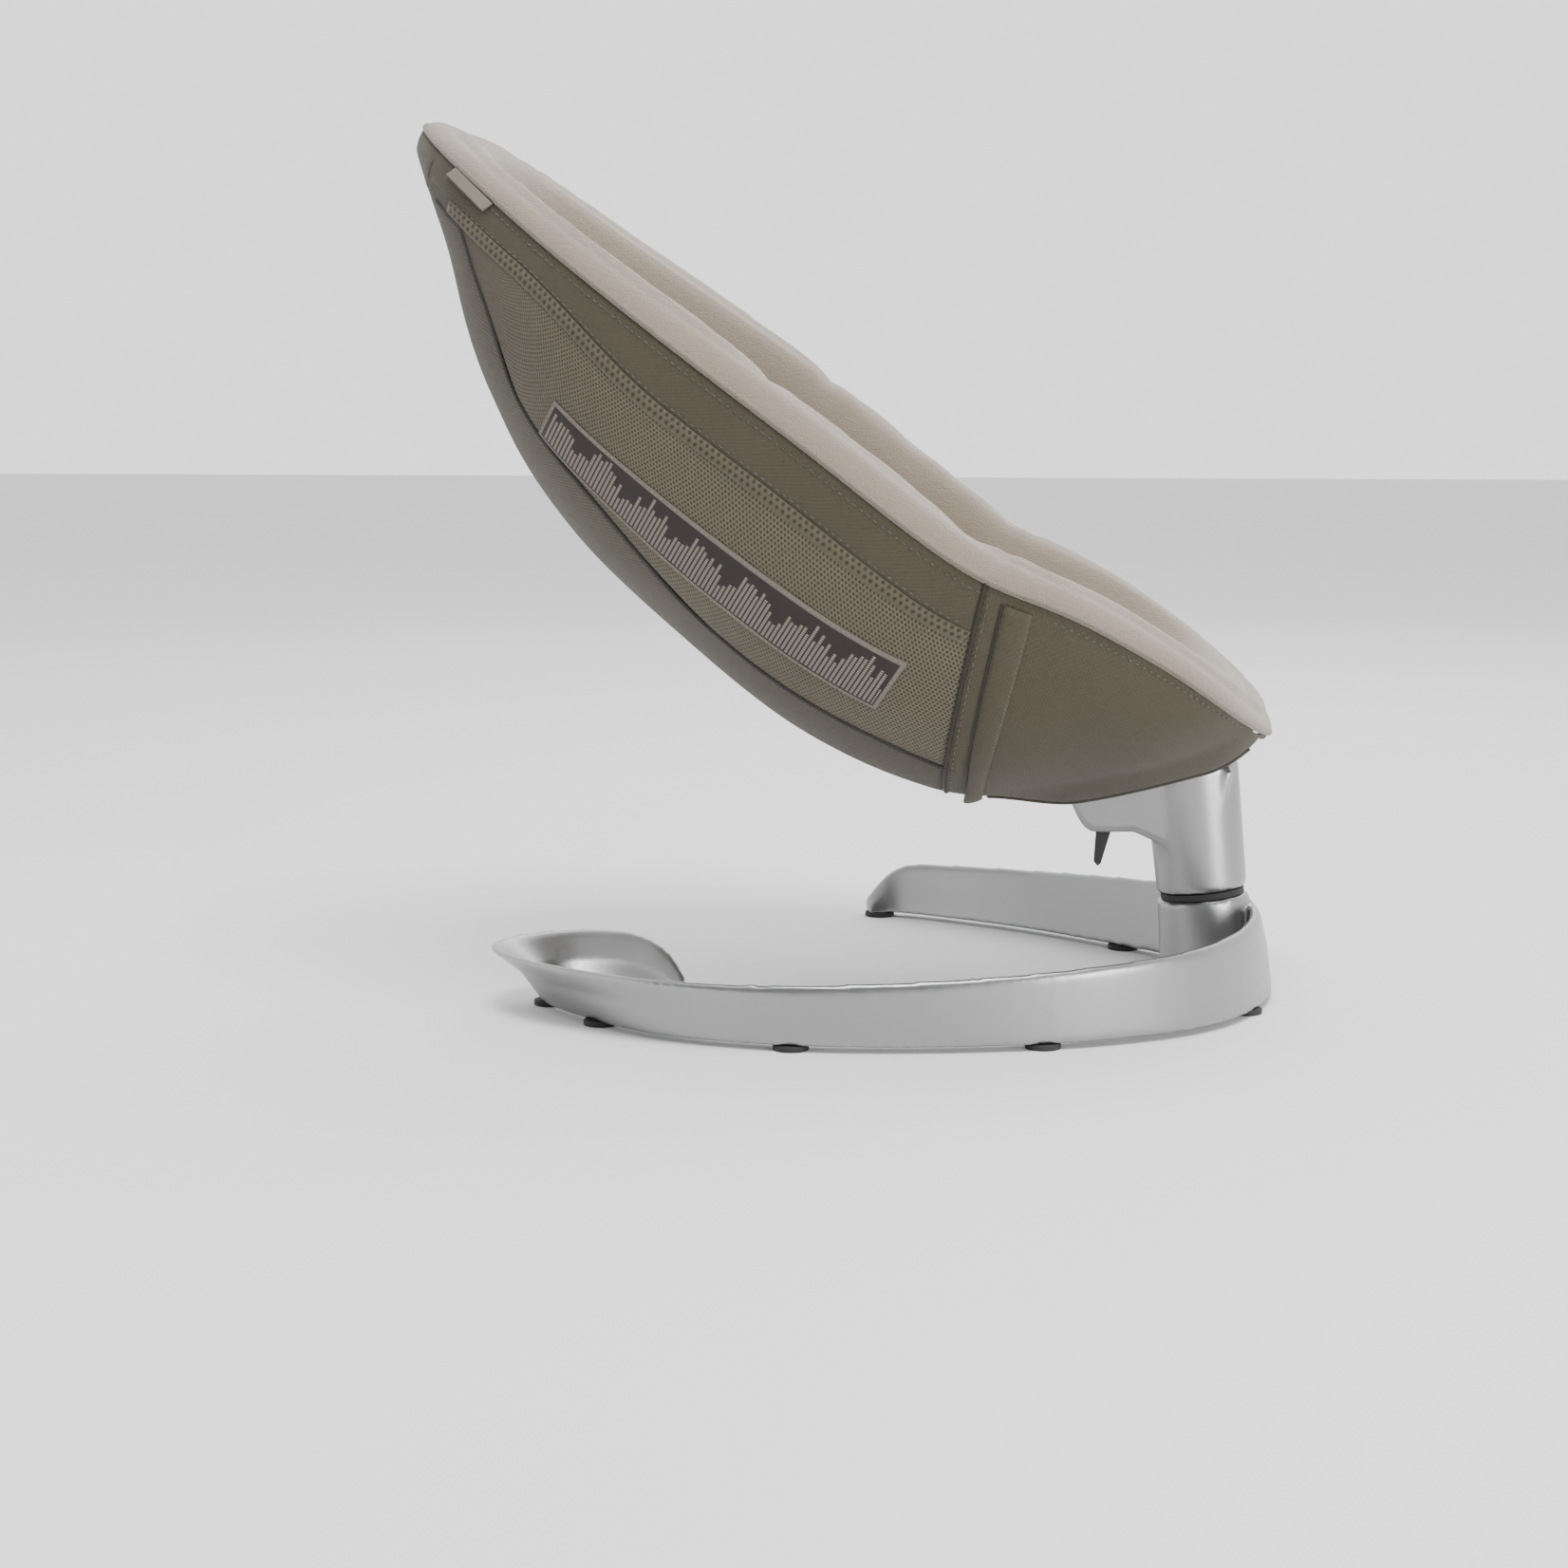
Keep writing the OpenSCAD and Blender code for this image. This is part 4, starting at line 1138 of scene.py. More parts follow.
@dataclass
class Liner:
    """The padded inner: a crowned rim all round and a deep bowl, with sewn seams."""

    form: SeatForm
    wardrobe: Wardrobe
    turns: int = 256
    rows: int = 72
    voxel: float = 0.0052
    swell: float = 0.006
    crease: float = 0.0030
    crease_w: float = 0.0034
    panel_share: float = 0.6
    seam_end: float = 0.72
    frames: int = 20
    parts: tuple[float, float, float] = (0.24, 0.28, 0.48)
    rim: Rows = ((0, 0.029), (0.25, 0.001), (0.32, 0.0), (0.47, 0.002), (0.62, 0.008), (0.8, 0.018), (1, 0.030))
    rise: Rows = ((0, -0.04), (0.25, -0.03), (0.32, 0.05), (0.47, 0.45), (0.62, 0.85), (0.8, 1.0), (1, 0.97))

    def cross_s(self) -> float:
        """Return the place of the cross seam along the seat."""
        return self.form.foot_line(0) - 0.003

    def profile(self, turn: float, v: float) -> Vector:
        """Return a place on the liner's skin.

        Args:
            turn: Share of a turn round the seat.
            v: From 0 in the middle underneath, out over the rim, to 1 in the middle of the face.

        Returns:
            The place in the object's frame.
        """
        f = self.form
        under, rim, face = self.parts
        turn = (turn + 0.5 / self.turns) % 1
        if v < under:
            share = (v / under) ** 0.8
            s, y = f.loop(turn, f.under_in, share)
            return f.place(s, y, f.under_t(s, y, share))
        if v < under + rim:
            w = (v - under) / rim
            s, y = f.loop(turn, curve_at(self.rim, w))
            return f.place(s, y, f.seam(s) + curve_at(self.rise, w) * f.crown_at(s))
        share = 1 - ((v - (under + rim)) / face) ** 1.2
        s, y = f.loop(turn, f.rim_w, share)
        return f.place(s, y, f.face_t(s, y, share))

    def swell_at(self, p: Vector) -> float:
        """Return how far the padding may swell at a place: not under the rim, the straps or the buckle.

        Args:
            p: The place in the object's frame.

        Returns:
            The greatest distance.
        """
        f = self.form
        s, y, t = f.local(p)
        w, mid = max(f.half(s, f.rim_w), 0.001), f.length / 2
        share = max(abs(y) / w, abs(s - mid) / (mid - f.rim_w))
        above = t - (f.face_t(s, y, min(share, 1)) - 0.008)
        strap = max(abs(s - f.buckle_s) - 0.013, abs(y) - 0.11, 0)
        crotch = max(abs(y) - 0.013, f.buckle_s - 0.085 - s, s - f.buckle_s, 0)
        clear = smooth((min(strap, crotch) - 0.004) / 0.04)
        return self.swell * smooth(above / 0.006) * clear

    def seams(self) -> list[list[Vector]]:
        """Lay out the sewn lines: across the seat at the foot section and round its middle panel.

        Returns:
            The cross seam and the panel's seam, each as points in order.
        """
        f, s0 = self.form, self.cross_s()
        w = f.half(s0, f.rim_w)
        cross = [f.face(s0, lerp(-w, w, k / 160)) for k in range(161)]
        shares = [1 - self.seam_end * k / 24 for k in range(25)]
        edge = [(curve_at(self.rim, k), curve_at(self.rise, k)) for k in shares]
        ends = [
            [f.place(s0, sign * f.half(s0, inset), f.seam(s0) + rise * f.crown_at(s0)) for inset, rise in edge]
            for sign in (-1, 1)
        ]
        panel = []
        for k in range(401):
            s, y = f.loop(k / 400, f.rim_w, self.panel_share)
            if s > s0:
                panel.append(f.place(s, y, f.face_t(s, y, self.panel_share)))
        steps = range(len(panel) - 1)
        split = next((i for i in steps if (panel[i + 1] - panel[i]).length > 0.05), len(panel) - 1)
        panel = panel[split + 1:] + panel[:split + 1]
        return [[*reversed(ends[0]), *cross, *ends[1]], panel]

    def puff(self, piece: bpy.types.Object) -> None:
        """Swell the padding as a cloth copy of it swells under pressure, outwards and up to its cap.

        Args:
            piece: The liner.
        """
        cells = piece.modifiers.new("cells", "REMESH")
        cells.mode = "VOXEL"
        cells.voxel_size = self.voxel
        mesh = bpy.data.meshes.new_from_object(piece.evaluated_get(bpy.context.evaluated_depsgraph_get()))
        piece.modifiers.remove(cells)
        soft = bpy.data.objects.new(piece.name + "_cells", mesh)
        bpy.context.scene.collection.objects.link(soft)
        rest = [v.co.copy() for v in mesh.vertices]
        cloth = soft.modifiers.new("padding", "CLOTH")
        cloth.settings.quality = 5
        cloth.settings.mass = 0.3
        cloth.settings.use_pressure = True
        cloth.settings.uniform_pressure_force = 4.0
        cloth.settings.effector_weights.gravity = 0.0
        cloth.point_cache.frame_start = 1
        cloth.point_cache.frame_end = self.frames
        for step in range(1, self.frames + 1):
            bpy.context.scene.frame_set(step)
        swollen = soft.evaluated_get(bpy.context.evaluated_depsgraph_get()).data
        moved = [v.co.copy() for v in swollen.vertices]
        tree = KDTree(len(rest))
        for i, was in enumerate(rest):
            tree.insert(was, i)
        tree.balance()
        for vert in piece.data.vertices:
            near = tree.find_n(vert.co, 12)
            weights = [1 / (gap + 0.002) ** 2 for _, _, gap in near]
            moves = ((moved[i] - rest[i]) * w for (_, i, _), w in zip(near, weights))
            push = max(0.0, (sum(moves, Vector()) / sum(weights)).dot(vert.normal))
            vert.co += vert.normal * min(push, self.swell_at(vert.co))
        bpy.data.objects.remove(soft)
        bpy.data.meshes.remove(mesh)

    def sew(self, piece: bpy.types.Object, lines: Sequence[Sequence[Vector]]) -> None:
        """Pull the seams in and let the padding stand up beside them.

        Args:
            piece: The liner.
            lines: The sewn lines.
        """
        points = [p for line in lines for p in line]
        tree = KDTree(len(points))
        for i, p in enumerate(points):
            tree.insert(p, i)
        tree.balance()
        up = self.form.up()
        bm = bmesh.new()
        bm.from_mesh(piece.data)
        bm.normal_update()
        for vert in bm.verts:
            gap = tree.find(vert.co)[2]
            lift = 0.0004 * noise.noise(vert.co * 38) if vert.normal.dot(up) > 0.1 else 0.0
            if gap < 0.03:
                lift -= self.crease * math.exp(-((gap / self.crease_w) ** 2))
                lift += 0.0008 * math.exp(-(((gap - 0.011) / 0.006) ** 2))
            vert.co += vert.normal * lift
        bm.to_mesh(piece.data)
        bm.free()

    def build(self) -> None:
        """Make the liner, its piping and its stitches."""
        f = self.form
        piece = Maker.mapped("liner", (self.turns, self.rows), self.profile, (2.0, 0.6), closed=True)
        self.puff(piece)
        lines = self.seams()
        self.sew(piece, lines)
        piece.data.polygons.foreach_set("use_smooth", [True] * len(piece.data.polygons))
        finish_piece(piece, Body.SEAT, self.wardrobe.liner, "liner_fabric", ["liner_pad"])
        edge = []
        for k in range(420):
            s, y = f.loop((k + 0.5) / 420, -0.0002)
            edge.append(f.place(s, y, f.seam(s) - 0.0006))
        piping = Maker.tube("liner_piping", edge, 0.0019, closed=True)
        finish_piece(piping, Body.SEAT, self.wardrobe.piping, "liner_fabric")
        along = f.place(1, 0, 0) - f.place(0, 0, 0)
        rows = [[p + along * off - f.up() * 0.0016 for p in lines[0][26:-26]] for off in (-0.0036, 0.0036)]
        rows.append([p - f.up() * 0.0014 for p in lines[1]])
        sewing = Maker.stitches("liner_stitches", rows, pitch=0.0052, length=0.0036, radius=0.0005)
        finish_piece(sewing, Body.SEAT, self.wardrobe.thread, "liner_fabric")


@dataclass
class OuterCover:
    """The outer cover: solid side bands, mesh sides, a bottom panel, the foot section and their trims."""

    form: SeatForm
    wardrobe: Wardrobe
    skin: float = 0.0022
    border_w: float = 0.0105
    tape_w: float = 0.0050
    flap_from: float = 0.0165
    flap_w: tuple[float, float] = (0.020, 0.010)
    hem_y: float = 0.048
    hem_s: float = 0.142
    hang: float = 0.0115
    mesh_end: float = 0.757
    patch_s: tuple[float, float] = (0.2454, 0.559)
    tab_s: tuple[float, float] = (0.680, 0.722)
    middle: Vector = field(default_factory=lambda: Vector((0.0, 0.0, 0.42)))

    def after(self, s: float, angle: float, width: float) -> float:
        """Return the angle a given width further round the section.

        Args:
            s: Place along the seat.
            angle: Where the width starts.
            width: How far to go, in metres.

        Returns:
            The angle, in degrees.
        """
        f = self.form
        step = (f.cover(s, min(angle + 0.7, 90)) - f.cover(s, max(angle - 0.7, 0))).length
        return angle + width * (min(angle + 0.7, 90) - max(angle - 0.7, 0)) / max(step, 1e-5)

    def mesh_to(self, s: float) -> float:
        """Return the angle at which the side mesh ends at the dark seam."""
        edge = self.after(s, self.form.band_angle(s), self.border_w + 0.001)
        return min(max(self.form.panel_angle(s), edge), 89.0)

    def start(self, angle: float, off: float = 0.0) -> float:
        """Return the place of the foot section's seam at an angle."""
        return self.form.foot_line(angle) + off

    def declare(
        self, piece: bpy.types.Object, size: tuple[float, float]
    ) -> None:
        """Work out the share of a sheet's cut from its mesh area; the result is not kept.

        Args:
            piece: The sheet, whose mesh gives the cut's area where it isn't a rectangle.
            size: Flat length and width of the cut.
        """
        area = mesh_area(piece)
        long, wide = size
        share = area / (long * wide)
        if share > 1:
            wide *= share

    def bands(self) -> None:
        """Make the solid side bands and their stitching."""
        f = self.form
        for side, label in ((Side.LEFT, "left"), (Side.RIGHT, "right")):
            def place(u: float, v: float, side: Side = side) -> Vector:
                """Lay the band along the rim, closed over the head end."""
                k = math.sin(u * math.pi / 2)
                rough = lerp(self.start(4), f.length - 0.0005, k)
                closed = smooth((rough - self.mesh_end + 0.014) / 0.006)
                angle = v * lerp(f.band_angle(rough), 90, closed)
                return f.cover(lerp(self.start(angle, 0.0003), f.length - 0.0005, k), angle, 0.0006 * closed, side)

            band = Maker.mapped(f"side_band_{label}_cloth", (120, 10), place, (0.62, 0.04), self.middle)
            Maker.thicken(band, self.skin)
            finish_piece(band, Body.SEAT, self.wardrobe.side, "side_fabric", [f"side_band_{label}"])
            self.declare(band, (0.62, 0.050))

            def border(u: float, v: float, side: Side = side) -> Vector:
                """Lay the mesh border along the band's edge."""
                s = lerp(self.start(7), self.mesh_end - 0.045, u)
                a = f.band_angle(s)
                proud = 0.0006 + 0.0004 * math.sin(math.pi * v)
                return f.cover(s, lerp(a, self.after(s, a, self.border_w), v), proud, side)

            edge = Maker.mapped(f"mesh_border_{label}", (140, 3), border, (0.5, self.border_w), self.middle)
            Maker.thicken(edge, 0.0008)
            finish_piece(edge, Body.SEAT, self.wardrobe.border, "mesh_fabric")
            self.declare(edge, (0.52, self.border_w))

            rows = []
            for drop, end in ((0.0045, 0.72), (0.0, self.mesh_end - 0.05)):
                row = []
                for k in range(240):
                    s = lerp(self.start(3) + 0.004, end, k / 239)
                    a = self.after(s, 0.6, drop) if drop else f.band_angle(s) - 0.8
                    row.append(f.cover(s, a, 0.0003, side))
                rows.append(row)
            sewing = Maker.stitches(f"band_stitches_{label}", rows)
            finish_piece(sewing, Body.SEAT, self.wardrobe.dark_thread, "side_fabric")

    def mesh_parts(self) -> None:
        """Make the mesh sides, the bottom panel and the dark seam tapes."""
        f = self.form

        def bottom(u: float, v: float) -> Vector:
            """Lay the panel from one dark seam to the other."""
            rough = lerp(self.start(60), self.mesh_end, u)
            low = self.mesh_to(rough)
            angle = lerp(low, 180 - low, v)
            return f.cover(lerp(self.start(min(angle, 180 - angle), 0.0003), self.mesh_end, u), angle)

        panel = Maker.mapped("bottom_panel", (110, 48), bottom, (0.58, 0.42), self.middle)
        Maker.thicken(panel, self.skin)
        finish_piece(panel, Body.SEAT, self.wardrobe.under, "mesh_fabric", ["mesh_sling"])
        self.declare(panel, (0.62, 0.42))
        for side, label in ((Side.LEFT, "left"), (Side.RIGHT, "right")):
            def place(u: float, v: float, side: Side = side) -> Vector:
                """Lay the mesh from the band to the dark seam."""
                rough = lerp(self.start(20), self.mesh_end, u)
                angle = lerp(f.band_angle(rough) + 0.1, self.mesh_to(rough), v)
                return f.cover(lerp(self.start(angle, 0.0003), self.mesh_end, u), angle, 0, side)

            cloth = Maker.mapped(f"side_mesh_{label}", (110, 20), place, (0.52, 0.12), self.middle)
            Maker.thicken(cloth, self.skin)
            finish_piece(cloth, Body.SEAT, self.wardrobe.mesh, "mesh_fabric")
            self.declare(cloth, (0.54, 0.13))

            def tape(u: float, v: float, side: Side = side) -> Vector:
                """Lay the tape over the dark seam."""
                rough = lerp(self.start(48), self.mesh_end - 0.03, u)
                a = self.mesh_to(rough)
                angle = lerp(a, self.after(rough, a, self.tape_w), v) - 0.8
                s = lerp(self.start(min(angle, 90), 0.001), self.mesh_end - 0.03, u)
                return f.cover(s, angle, 0.0005 + 0.0011 * math.sin(math.pi * v), side)

            seam = Maker.mapped(f"seam_tape_{label}", (160, 4), tape, (0.55, self.tape_w), self.middle)
            Maker.thicken(seam, 0.0008)
            finish_piece(seam, Body.SEAT, self.wardrobe.tape, "side_fabric")

            line = [f.cover(self.start(a), a, 0.0002, side) for a in (k * 90 / 80 for k in range(81))]
            bead = Maker.tube(f"foot_seam_bead_{label}", line, 0.0013)
            finish_piece(bead, Body.SEAT, self.wardrobe.tape, "side_fabric")

    def hem_angle(self, s: float) -> float:
        """Return the angle of the foot opening's edge at a place along the seat."""
        share = min(self.hem_y / max(self.form.half(s), 0.001), 1)
        return math.degrees(math.acos(share ** (1 / self.form.power)))

    def slack(self, s: float, y: float) -> Vector:
        """Return how far the foot section hangs down beside its opening."""
        along = smooth(s / 0.03) * smooth((self.hem_s - s) / 0.05)
        return Vector((0, 0, -self.hang * along * smooth((self.hem_y + 0.034 - y) / 0.034)))

    def foot_section(self) -> None:
        """Make the foot section with its opening for the leg, its hem, slits and folded strips."""
        f = self.form

        def place(u: float, v: float) -> Vector:
            """Lay the foot section from rim to rim, slack beside its opening."""
            angle = 180 * v
            k = 1 - math.cos(u * math.pi / 2)
            s = lerp(0.0004, self.start(min(angle, 180 - angle), -0.0003), k)
            p = f.cover(s, angle)
            return p + self.slack(s, abs(p.y))

        foot = Maker.mapped("foot_section", (64, 120), place, (0.24, 0.52), self.middle)
        bm = bmesh.new()
        bm.from_mesh(foot.data)
        along = f.place(1, 0, 0) - f.place(0, 0, 0)
        for co, no in (
            (Vector((0, self.hem_y, 0)), Vector((0, 1, 0))),
            (Vector((0, -self.hem_y, 0)), Vector((0, 1, 0))),
            (f.place(self.hem_s, 0, 0), along),
        ):
            whole = bm.verts[:] + bm.edges[:] + bm.faces[:]
            bmesh.ops.bisect_plane(bm, geom=whole, plane_co=co, plane_no=no, dist=1e-6)
        gone = []
        for face in bm.faces:
            s, y, t = f.local(face.calc_center_median())
            if abs(y) < self.hem_y and s < self.hem_s and t < f.seam(s) - 0.006:
                gone.append(face)
        bmesh.ops.delete(bm, geom=gone, context="FACES")
        bm.to_mesh(foot.data)
        bm.free()
        foot.data.polygons.foreach_set("use_smooth", [True] * len(foot.data.polygons))
        Maker.thicken(foot, self.skin)
        finish_piece(foot, Body.SEAT, self.wardrobe.side, "side_fabric", ["foot_cover"])
        self.declare(foot, (0.52, 0.26))

        def leg_edge(s: float, side: Side) -> Vector:
            """Return a place on the edge of the opening for the leg."""
            return f.cover(s, self.hem_angle(s), 0.0002, side) + self.slack(s, self.hem_y)

        places = [lerp(0.010, self.hem_s, k / 40) for k in range(41)]
        path = [leg_edge(s, Side.RIGHT) for s in places]
        a = self.hem_angle(self.hem_s)
        path += [f.cover(self.hem_s, lerp(a, 180 - a, k / 30), 0.0002, Side.RIGHT) for k in range(1, 30)]
        path += [leg_edge(s, Side.LEFT) for s in reversed(places)]
        hem = Maker.tube("foot_hem", path, 0.0017)
        finish_piece(hem, Body.SEAT, self.wardrobe.binding, "side_fabric")

        for side, label in ((Side.LEFT, "left"), (Side.RIGHT, "right")):
            def flap(u: float, v: float, side: Side = side) -> Vector:
                """Lay the folded strip beside the slit."""
                angle = lerp(1.5, 72, u)
                width = lerp(self.flap_w[0], self.flap_w[1], smooth(u))
                off = -self.flap_from - v * width
                loose = 0.0065 * smooth((u - 0.72) / 0.28) * (1 - 0.6 * v)
                proud = 0.0012 + loose + 0.0020 * math.sin(math.pi * v) ** 0.6
                return f.cover(self.start(angle, off), angle, proud, side)

            strip = Maker.mapped(f"folded_strip_{label}", (60, 6), flap, (0.19, 0.017), self.middle)
            Maker.thicken(strip, 0.0012)
            stands_for = ["seam_strip"] if side is Side.LEFT else []
            finish_piece(strip, Body.SEAT, self.wardrobe.side, "side_fabric", stands_for)
            self.declare(strip, (0.21, 0.017))

            def beside_seam(
                off: float, out: float, ends: tuple[float, float], steps: int, side: Side = side
            ) -> list[Vector]:
                """Return a line beside the slanting seam, in even steps between two angles."""
                angles = [lerp(*ends, k / steps) for k in range(steps + 1)]
                return [f.cover(self.start(a, off), a, out, side) for a in angles]

            slit = beside_seam(0.0015 - self.flap_from, 0.0001, (1.5, 66), 60)
            gap = Maker.tube(f"slit_edge_{label}", slit, 0.0012)
            finish_piece(gap, Body.SEAT, self.wardrobe.tape, "side_fabric")
            top = [lerp(0.02, 0.18, k / 80) for k in range(81)]
            rows = [
                beside_seam(-0.0035 - self.flap_from, 0.0018, (2, 62), 80),
                beside_seam(-0.005, 0.0004, (2, 60), 80),
                [f.cover(s, self.after(s, 0.6, 0.0045), 0.0003, side) for s in top],
            ]
            sewing = Maker.stitches(f"foot_stitches_{label}", rows)
            finish_piece(sewing, Body.SEAT, self.wardrobe.dark_thread, "side_fabric")

    def trims(self) -> None:
        """Make the barred patch and the blank tab."""
        f = self.form

        def patch(u: float, v: float) -> Vector:
            """Lay the patch on the mesh side."""
            s = lerp(*self.patch_s, u)
            edge = min(u, 1 - u, v * 0.12, (1 - v) * 0.12)
            puff = 0.0004 * smooth(edge / 0.008)
            return f.cover(s, lerp(lerp(20.5, 26.5, u), lerp(37.5, 40.5, u), v), 0.0010 + puff, Side.RIGHT)

        cloth = Maker.mapped("side_patch", (120, 18), patch, (0.314, 0.045), self.middle)
        Maker.thicken(cloth, 0.0009)
        finish_piece(cloth, Body.SEAT, self.wardrobe.patch, "label_fabric", ["side_label"])
        self.declare(cloth, (0.33, 0.047))
        ring = []
        corners = ((0, 0.04), (1, 0.04), (1, 0.96), (0, 0.96), (0, 0.04))
        for (u0, v0), (u1, v1) in zip(corners, corners[1:]):
            ring += [patch(lerp(lerp(u0, u1, k / 60), 0.5, 0.012), lerp(v0, v1, k / 60)) for k in range(60)]
        sewing = Maker.stitches("patch_stitches", [ring], pitch=0.0042, length=0.0030, radius=0.0004)
        finish_piece(sewing, Body.SEAT, self.wardrobe.thread, "label_fabric")

        def tab(u: float, v: float) -> Vector:
            """Lay the tab over the side seam."""
            s = lerp(*self.tab_s, u)
            top = f.cover(s, 0.6, 0.0022, Side.RIGHT)
            low = f.cover(s + 0.0035, self.after(s, 0.6, 0.0125), 0.0030, Side.RIGHT)
            return top.lerp(low, v)

        piece = Maker.mapped("blank_tab", (24, 8), tab, (0.045, 0.014), self.middle)
        Maker.thicken(piece, 0.0012)
        finish_piece(piece, Body.SEAT, self.wardrobe.tab, "tab_fabric", ["fabric_tab"])
        self.declare(piece, (0.048, 0.016))

    def build(self) -> None:
        """Make the whole cover."""
        self.bands()
        self.mesh_parts()
        self.foot_section()
        self.trims()


@dataclass
class Harness:
    """The waist and crotch straps and the buckle."""

    form: SeatForm
    wardrobe: Wardrobe
    strap_w: float = 0.025
    strap_t: float = 0.0016
    lift: float = 0.0016

    def strap(self, name: str, ends: tuple[float, float], at: float, lengthwise: bool, node: str | None) -> None:
        """Make one strap.

        Args:
            name: The piece's name.
            ends: Where it starts and ends.
            at: Its place the other way.
            lengthwise: Whether it runs along the seat.
            node: The CAD node it stands for, if it is the first to do so.
        """
        f = self.form

        def place(u: float, v: float) -> Vector:
            """Lay the webbing over the liner's face."""
            run, off = lerp(*ends, u), at + (v - 0.5) * self.strap_w
            edge = 0.0004 * math.sin(math.pi * v)
            return f.face(run, off, self.lift + edge) if lengthwise else f.face(off, run, self.lift + edge)

        size = (abs(ends[1] - ends[0]), self.strap_w)
        cloth = Maker.mapped(name, (40, 8), place, size, f.place(f.buckle_s, 0, -0.6))
        Maker.thicken(cloth, self.strap_t, inward=False)
        finish_piece(cloth, Body.SEAT, self.wardrobe.webbing, "webbing", [node] if node else [])

    def build(self) -> None:
        """Make the straps, their stitches and the buckle."""
        f, w, at = self.form, self.wardrobe, self.form.buckle_s
        self.strap("crotch_webbing", (at - 0.0745, at - 0.020), 0, True, "crotch_strap")
        self.strap("waist_webbing_left", (0.036, 0.104), at, False, "waist_straps")
        self.strap("waist_webbing_right", (-0.104, -0.036), at, False, None)
        top = self.lift + self.strap_t + 0.0006
        rows = []
        for sign in (-1, 1):
            for off in (-0.009, 0.009):
                rows.append([f.face(at + off, sign * lerp(0.046, 0.102, k / 20), top) for k in range(21)])
            rows.append([f.face(at + lerp(-0.009, 0.009, k / 8), sign * 0.060, top) for k in range(9)])
        for off in (-0.009, 0.009):
            rows.append([f.face(lerp(at - 0.072, at - 0.024, k / 20), off, top) for k in range(21)])
        sewing = Maker.stitches("webbing_stitches", rows, pitch=0.0036, length=0.0026, radius=0.0004)
        finish_piece(sewing, Body.SEAT, w.thread, "webbing")
        for name, node, body, finish, slot in (
            ("buckle_shell", "buckle_body", Body.SEAT, w.black, "black_plastic"),
            ("buckle_tongue_pair", "buckle_tongues", Body.SEAT, w.black, "black_plastic"),
            ("buckle_press", "buckle_button", Body.BUTTON, w.button, "button_plastic"),
        ):
            finish_piece(Maker.softened(name, node, 0.0012, 3), body, finish, slot, [node])


# ---------------------------------------------------------------- hard parts


@dataclass
class HardParts:
    """The castings, the lever and every fitting that keeps its CAD shape."""

    wardrobe: Wardrobe

    def build(self) -> None:
        """Make the castings and dress the CAD nodes."""
        w = self.wardrobe
        ribbon = Maker.cast("ribbon_base", "base_casting", 0.0020, 14)
        finish_piece(ribbon, Body.BASE, w.cast, "cast_aluminium", ["base_casting"])
        leg = Maker.cast("cast_leg", "leg_casting", 0.0014, 36)
        finish_piece(leg, Body.LEG, w.cast, "cast_aluminium", ["leg_casting"])
        lever = Maker.softened("finger_lever", "release_lever", 0.0010, 2)
        finish_piece(lever, Body.LEVER, w.black, "black_plastic", ["release_lever"])
        pads = Maker.softened("foot_pads", "rubber_feet", 0.0008, 2)
        finish_piece(pads, Body.BASE, w.rubber, "black_rubber", ["rubber_feet"])
        by_slot = {
            "cast_aluminium": w.cast, "tube_aluminium": w.drawn, "steel": w.zinc, "bearing_plastic": w.bearing,
            "black_rubber": w.rubber, "black_plastic": w.black, "button_plastic": w.button,
            "liner_fabric": w.liner, "side_fabric": w.side, "mesh_fabric": w.mesh, "label_fabric": w.patch,
            "tab_fabric": w.tab, "webbing": w.webbing,
        }
        for part in frame["record"]["subparts"]:
            node = frame["nodes"][part["node"]]
            for slot in node.material_slots:
                slot.material = by_slot[part["material_slot"]]


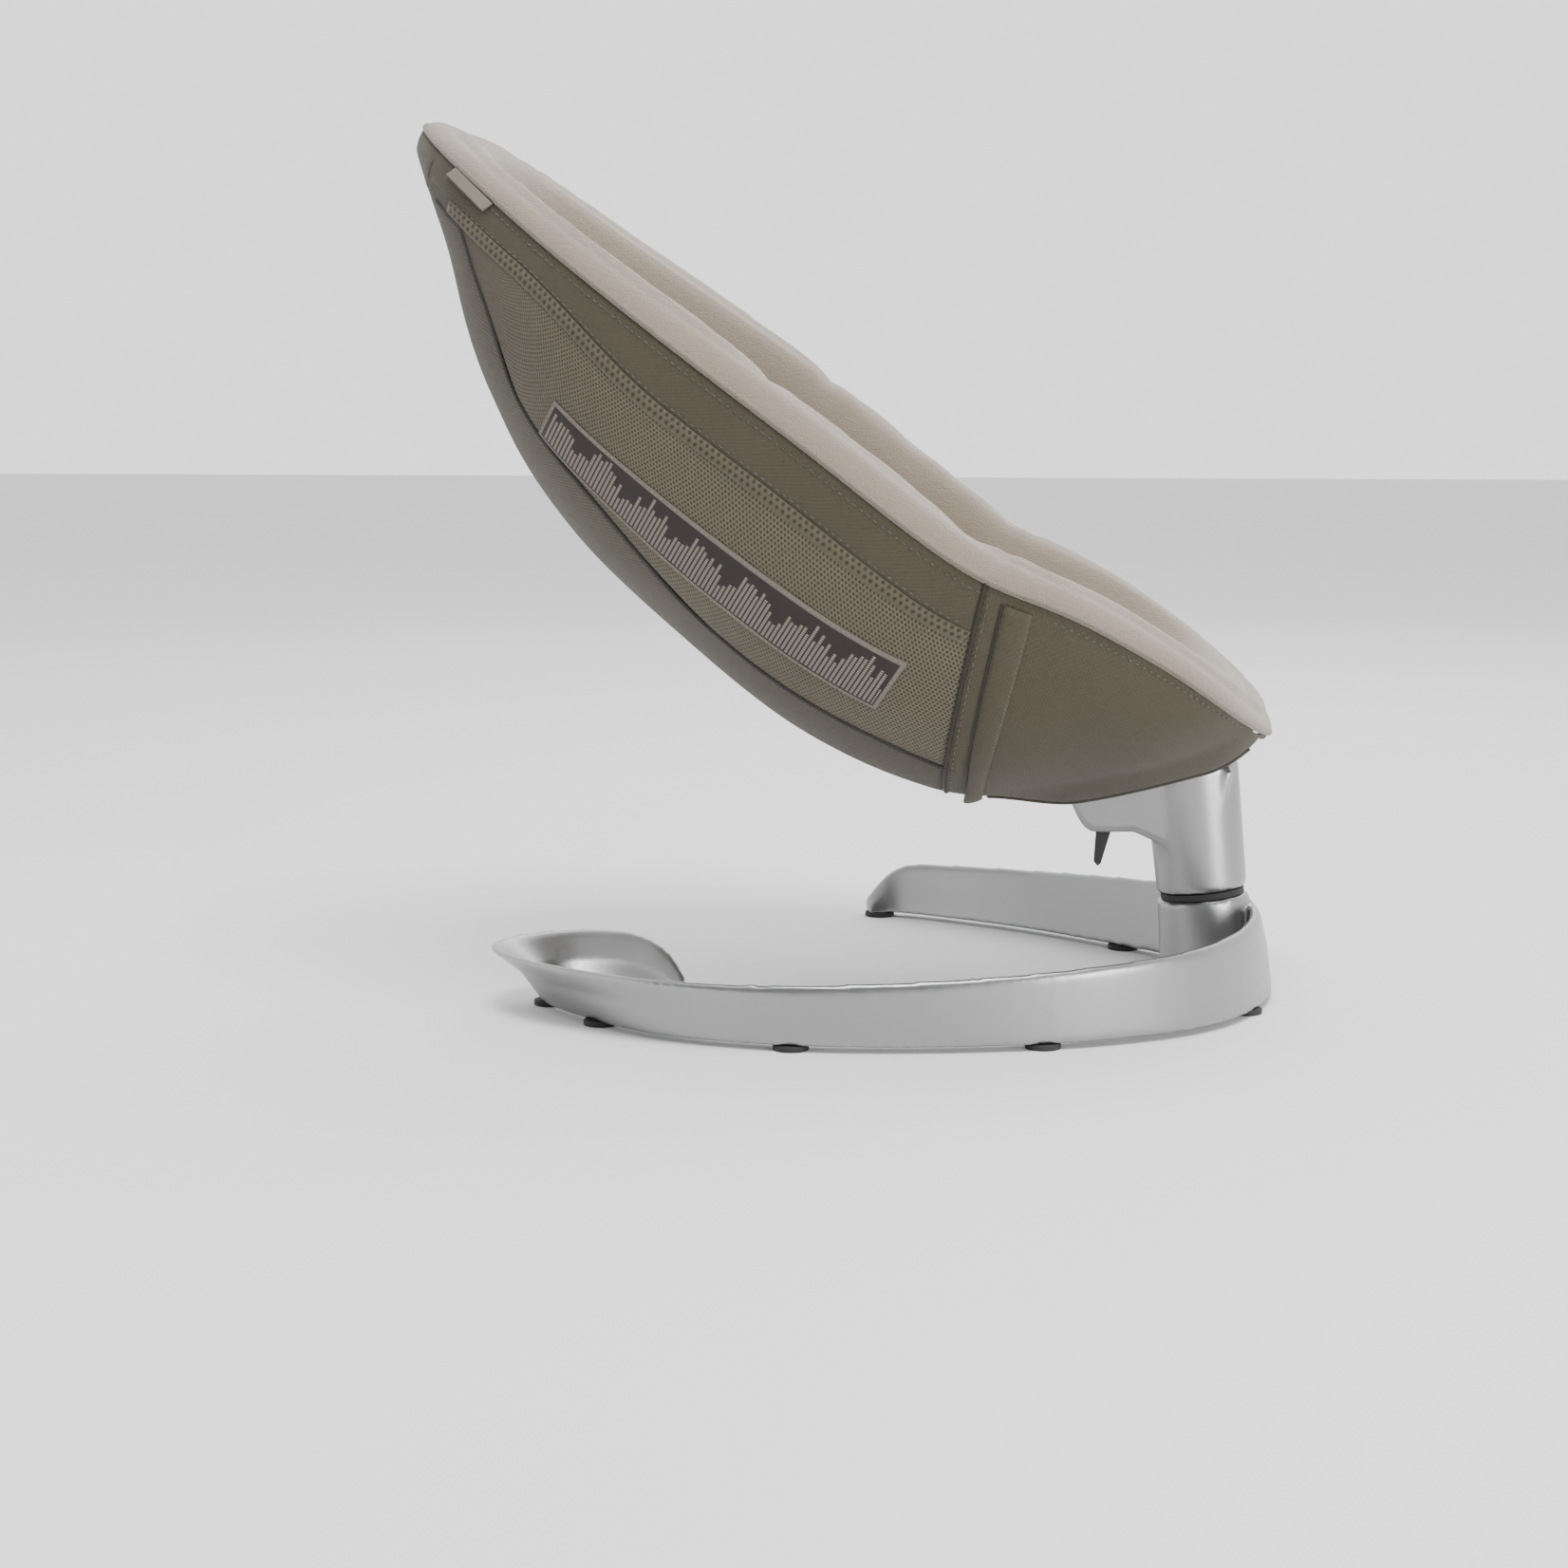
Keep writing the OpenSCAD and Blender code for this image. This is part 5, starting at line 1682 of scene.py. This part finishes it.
@dataclass
class Studio:
    """The floor, the lights and the camera."""

    place: tuple[float, float, float] = (0.2714, -2.2, 0.445)
    turn: tuple[float, float, float] = (82.4, 0.0, 8.3)
    lens: float = 66.64

    @staticmethod
    def lamp(name: str, at: tuple[float, ...], to: tuple[float, ...], size: float, power: float) -> None:
        """Add a soft square light.

        Args:
            name: Its name.
            at: Where it hangs.
            to: The point that it looks at.
            size: Length of its side.
            power: Its power in watts.
        """
        light = bpy.data.lights.new(name, "AREA")
        light.size = size
        light.energy = power
        lamp = bpy.data.objects.new(name, light)
        lamp.location = at
        lamp.rotation_euler = (Vector(to) - Vector(at)).to_track_quat("-Z", "Y").to_euler()
        bpy.context.scene.collection.objects.link(lamp)

    def build(self) -> None:
        """Make the floor, lights, sky and camera."""
        bm = bmesh.new()
        bmesh.ops.create_grid(bm, x_segments=4, y_segments=4, size=14)
        floor = Maker.from_bmesh("floor", bm, rounded=False)
        base = Finish("floor_pale", (0.90, 0.90, 0.90), (0.88, 0.88, 0.88), 0.9)
        material, g, shader = base.begin()
        solid = g.add("TexCoord").outputs["Object"]
        g.feed(shader.inputs["Base Color"], g.blend(g.noise(solid, 3.0), (*base.colour, 1), (*base.tint, 1)))
        floor.data.materials.append(material)
        world = bpy.data.worlds.new("sky")
        world.use_nodes = True
        sky = Graph(world.node_tree)
        back = world.node_tree.nodes["Background"]
        back.inputs["Color"].default_value = (0.98, 0.985, 1.0, 1)
        way = sky.add("SeparateXYZ")
        sky.feed(way.inputs[0], sky.add("TexCoord").outputs["Generated"])
        sky.feed(back.inputs["Strength"], sky.remap(way.outputs[1], -0.7, 0.5, 0.46, 1.75))
        bpy.context.scene.world = world
        self.lamp("key", (0.3, -0.9, 3.3), (0, 0, 0.25), 1.5, 92)
        self.lamp("side", (2.5, -2.0, 0.6), (0.1, 0, 0.1), 1.3, 60)
        self.lamp("fill", (-2.4, -1.6, 0.8), (0, 0, 0.3), 1.6, 8)
        self.lamp("back", (0.4, 2.4, 2.4), (0, 0, 0.3), 2.0, 36)
        camera = bpy.data.cameras.new("camera")
        camera.lens = self.lens
        camera.sensor_width = 36
        eye = bpy.data.objects.new("camera", camera)
        eye.location = self.place
        eye.rotation_euler = tuple(math.radians(a) for a in self.turn)
        bpy.context.scene.collection.objects.link(eye)
        bpy.context.scene.camera = eye


def main() -> None:
    """Build the bouncer in order."""
    logging.basicConfig(level=logging.INFO, format="%(name)s: %(message)s")
    Studio().build()
    wardrobe = Wardrobe()
    form = SeatForm()
    HardParts(wardrobe).build()
    Liner(form, wardrobe).build()
    OuterCover(form, wardrobe).build()
    Harness(form, wardrobe).build()


if __name__ == "__main__":
    main()
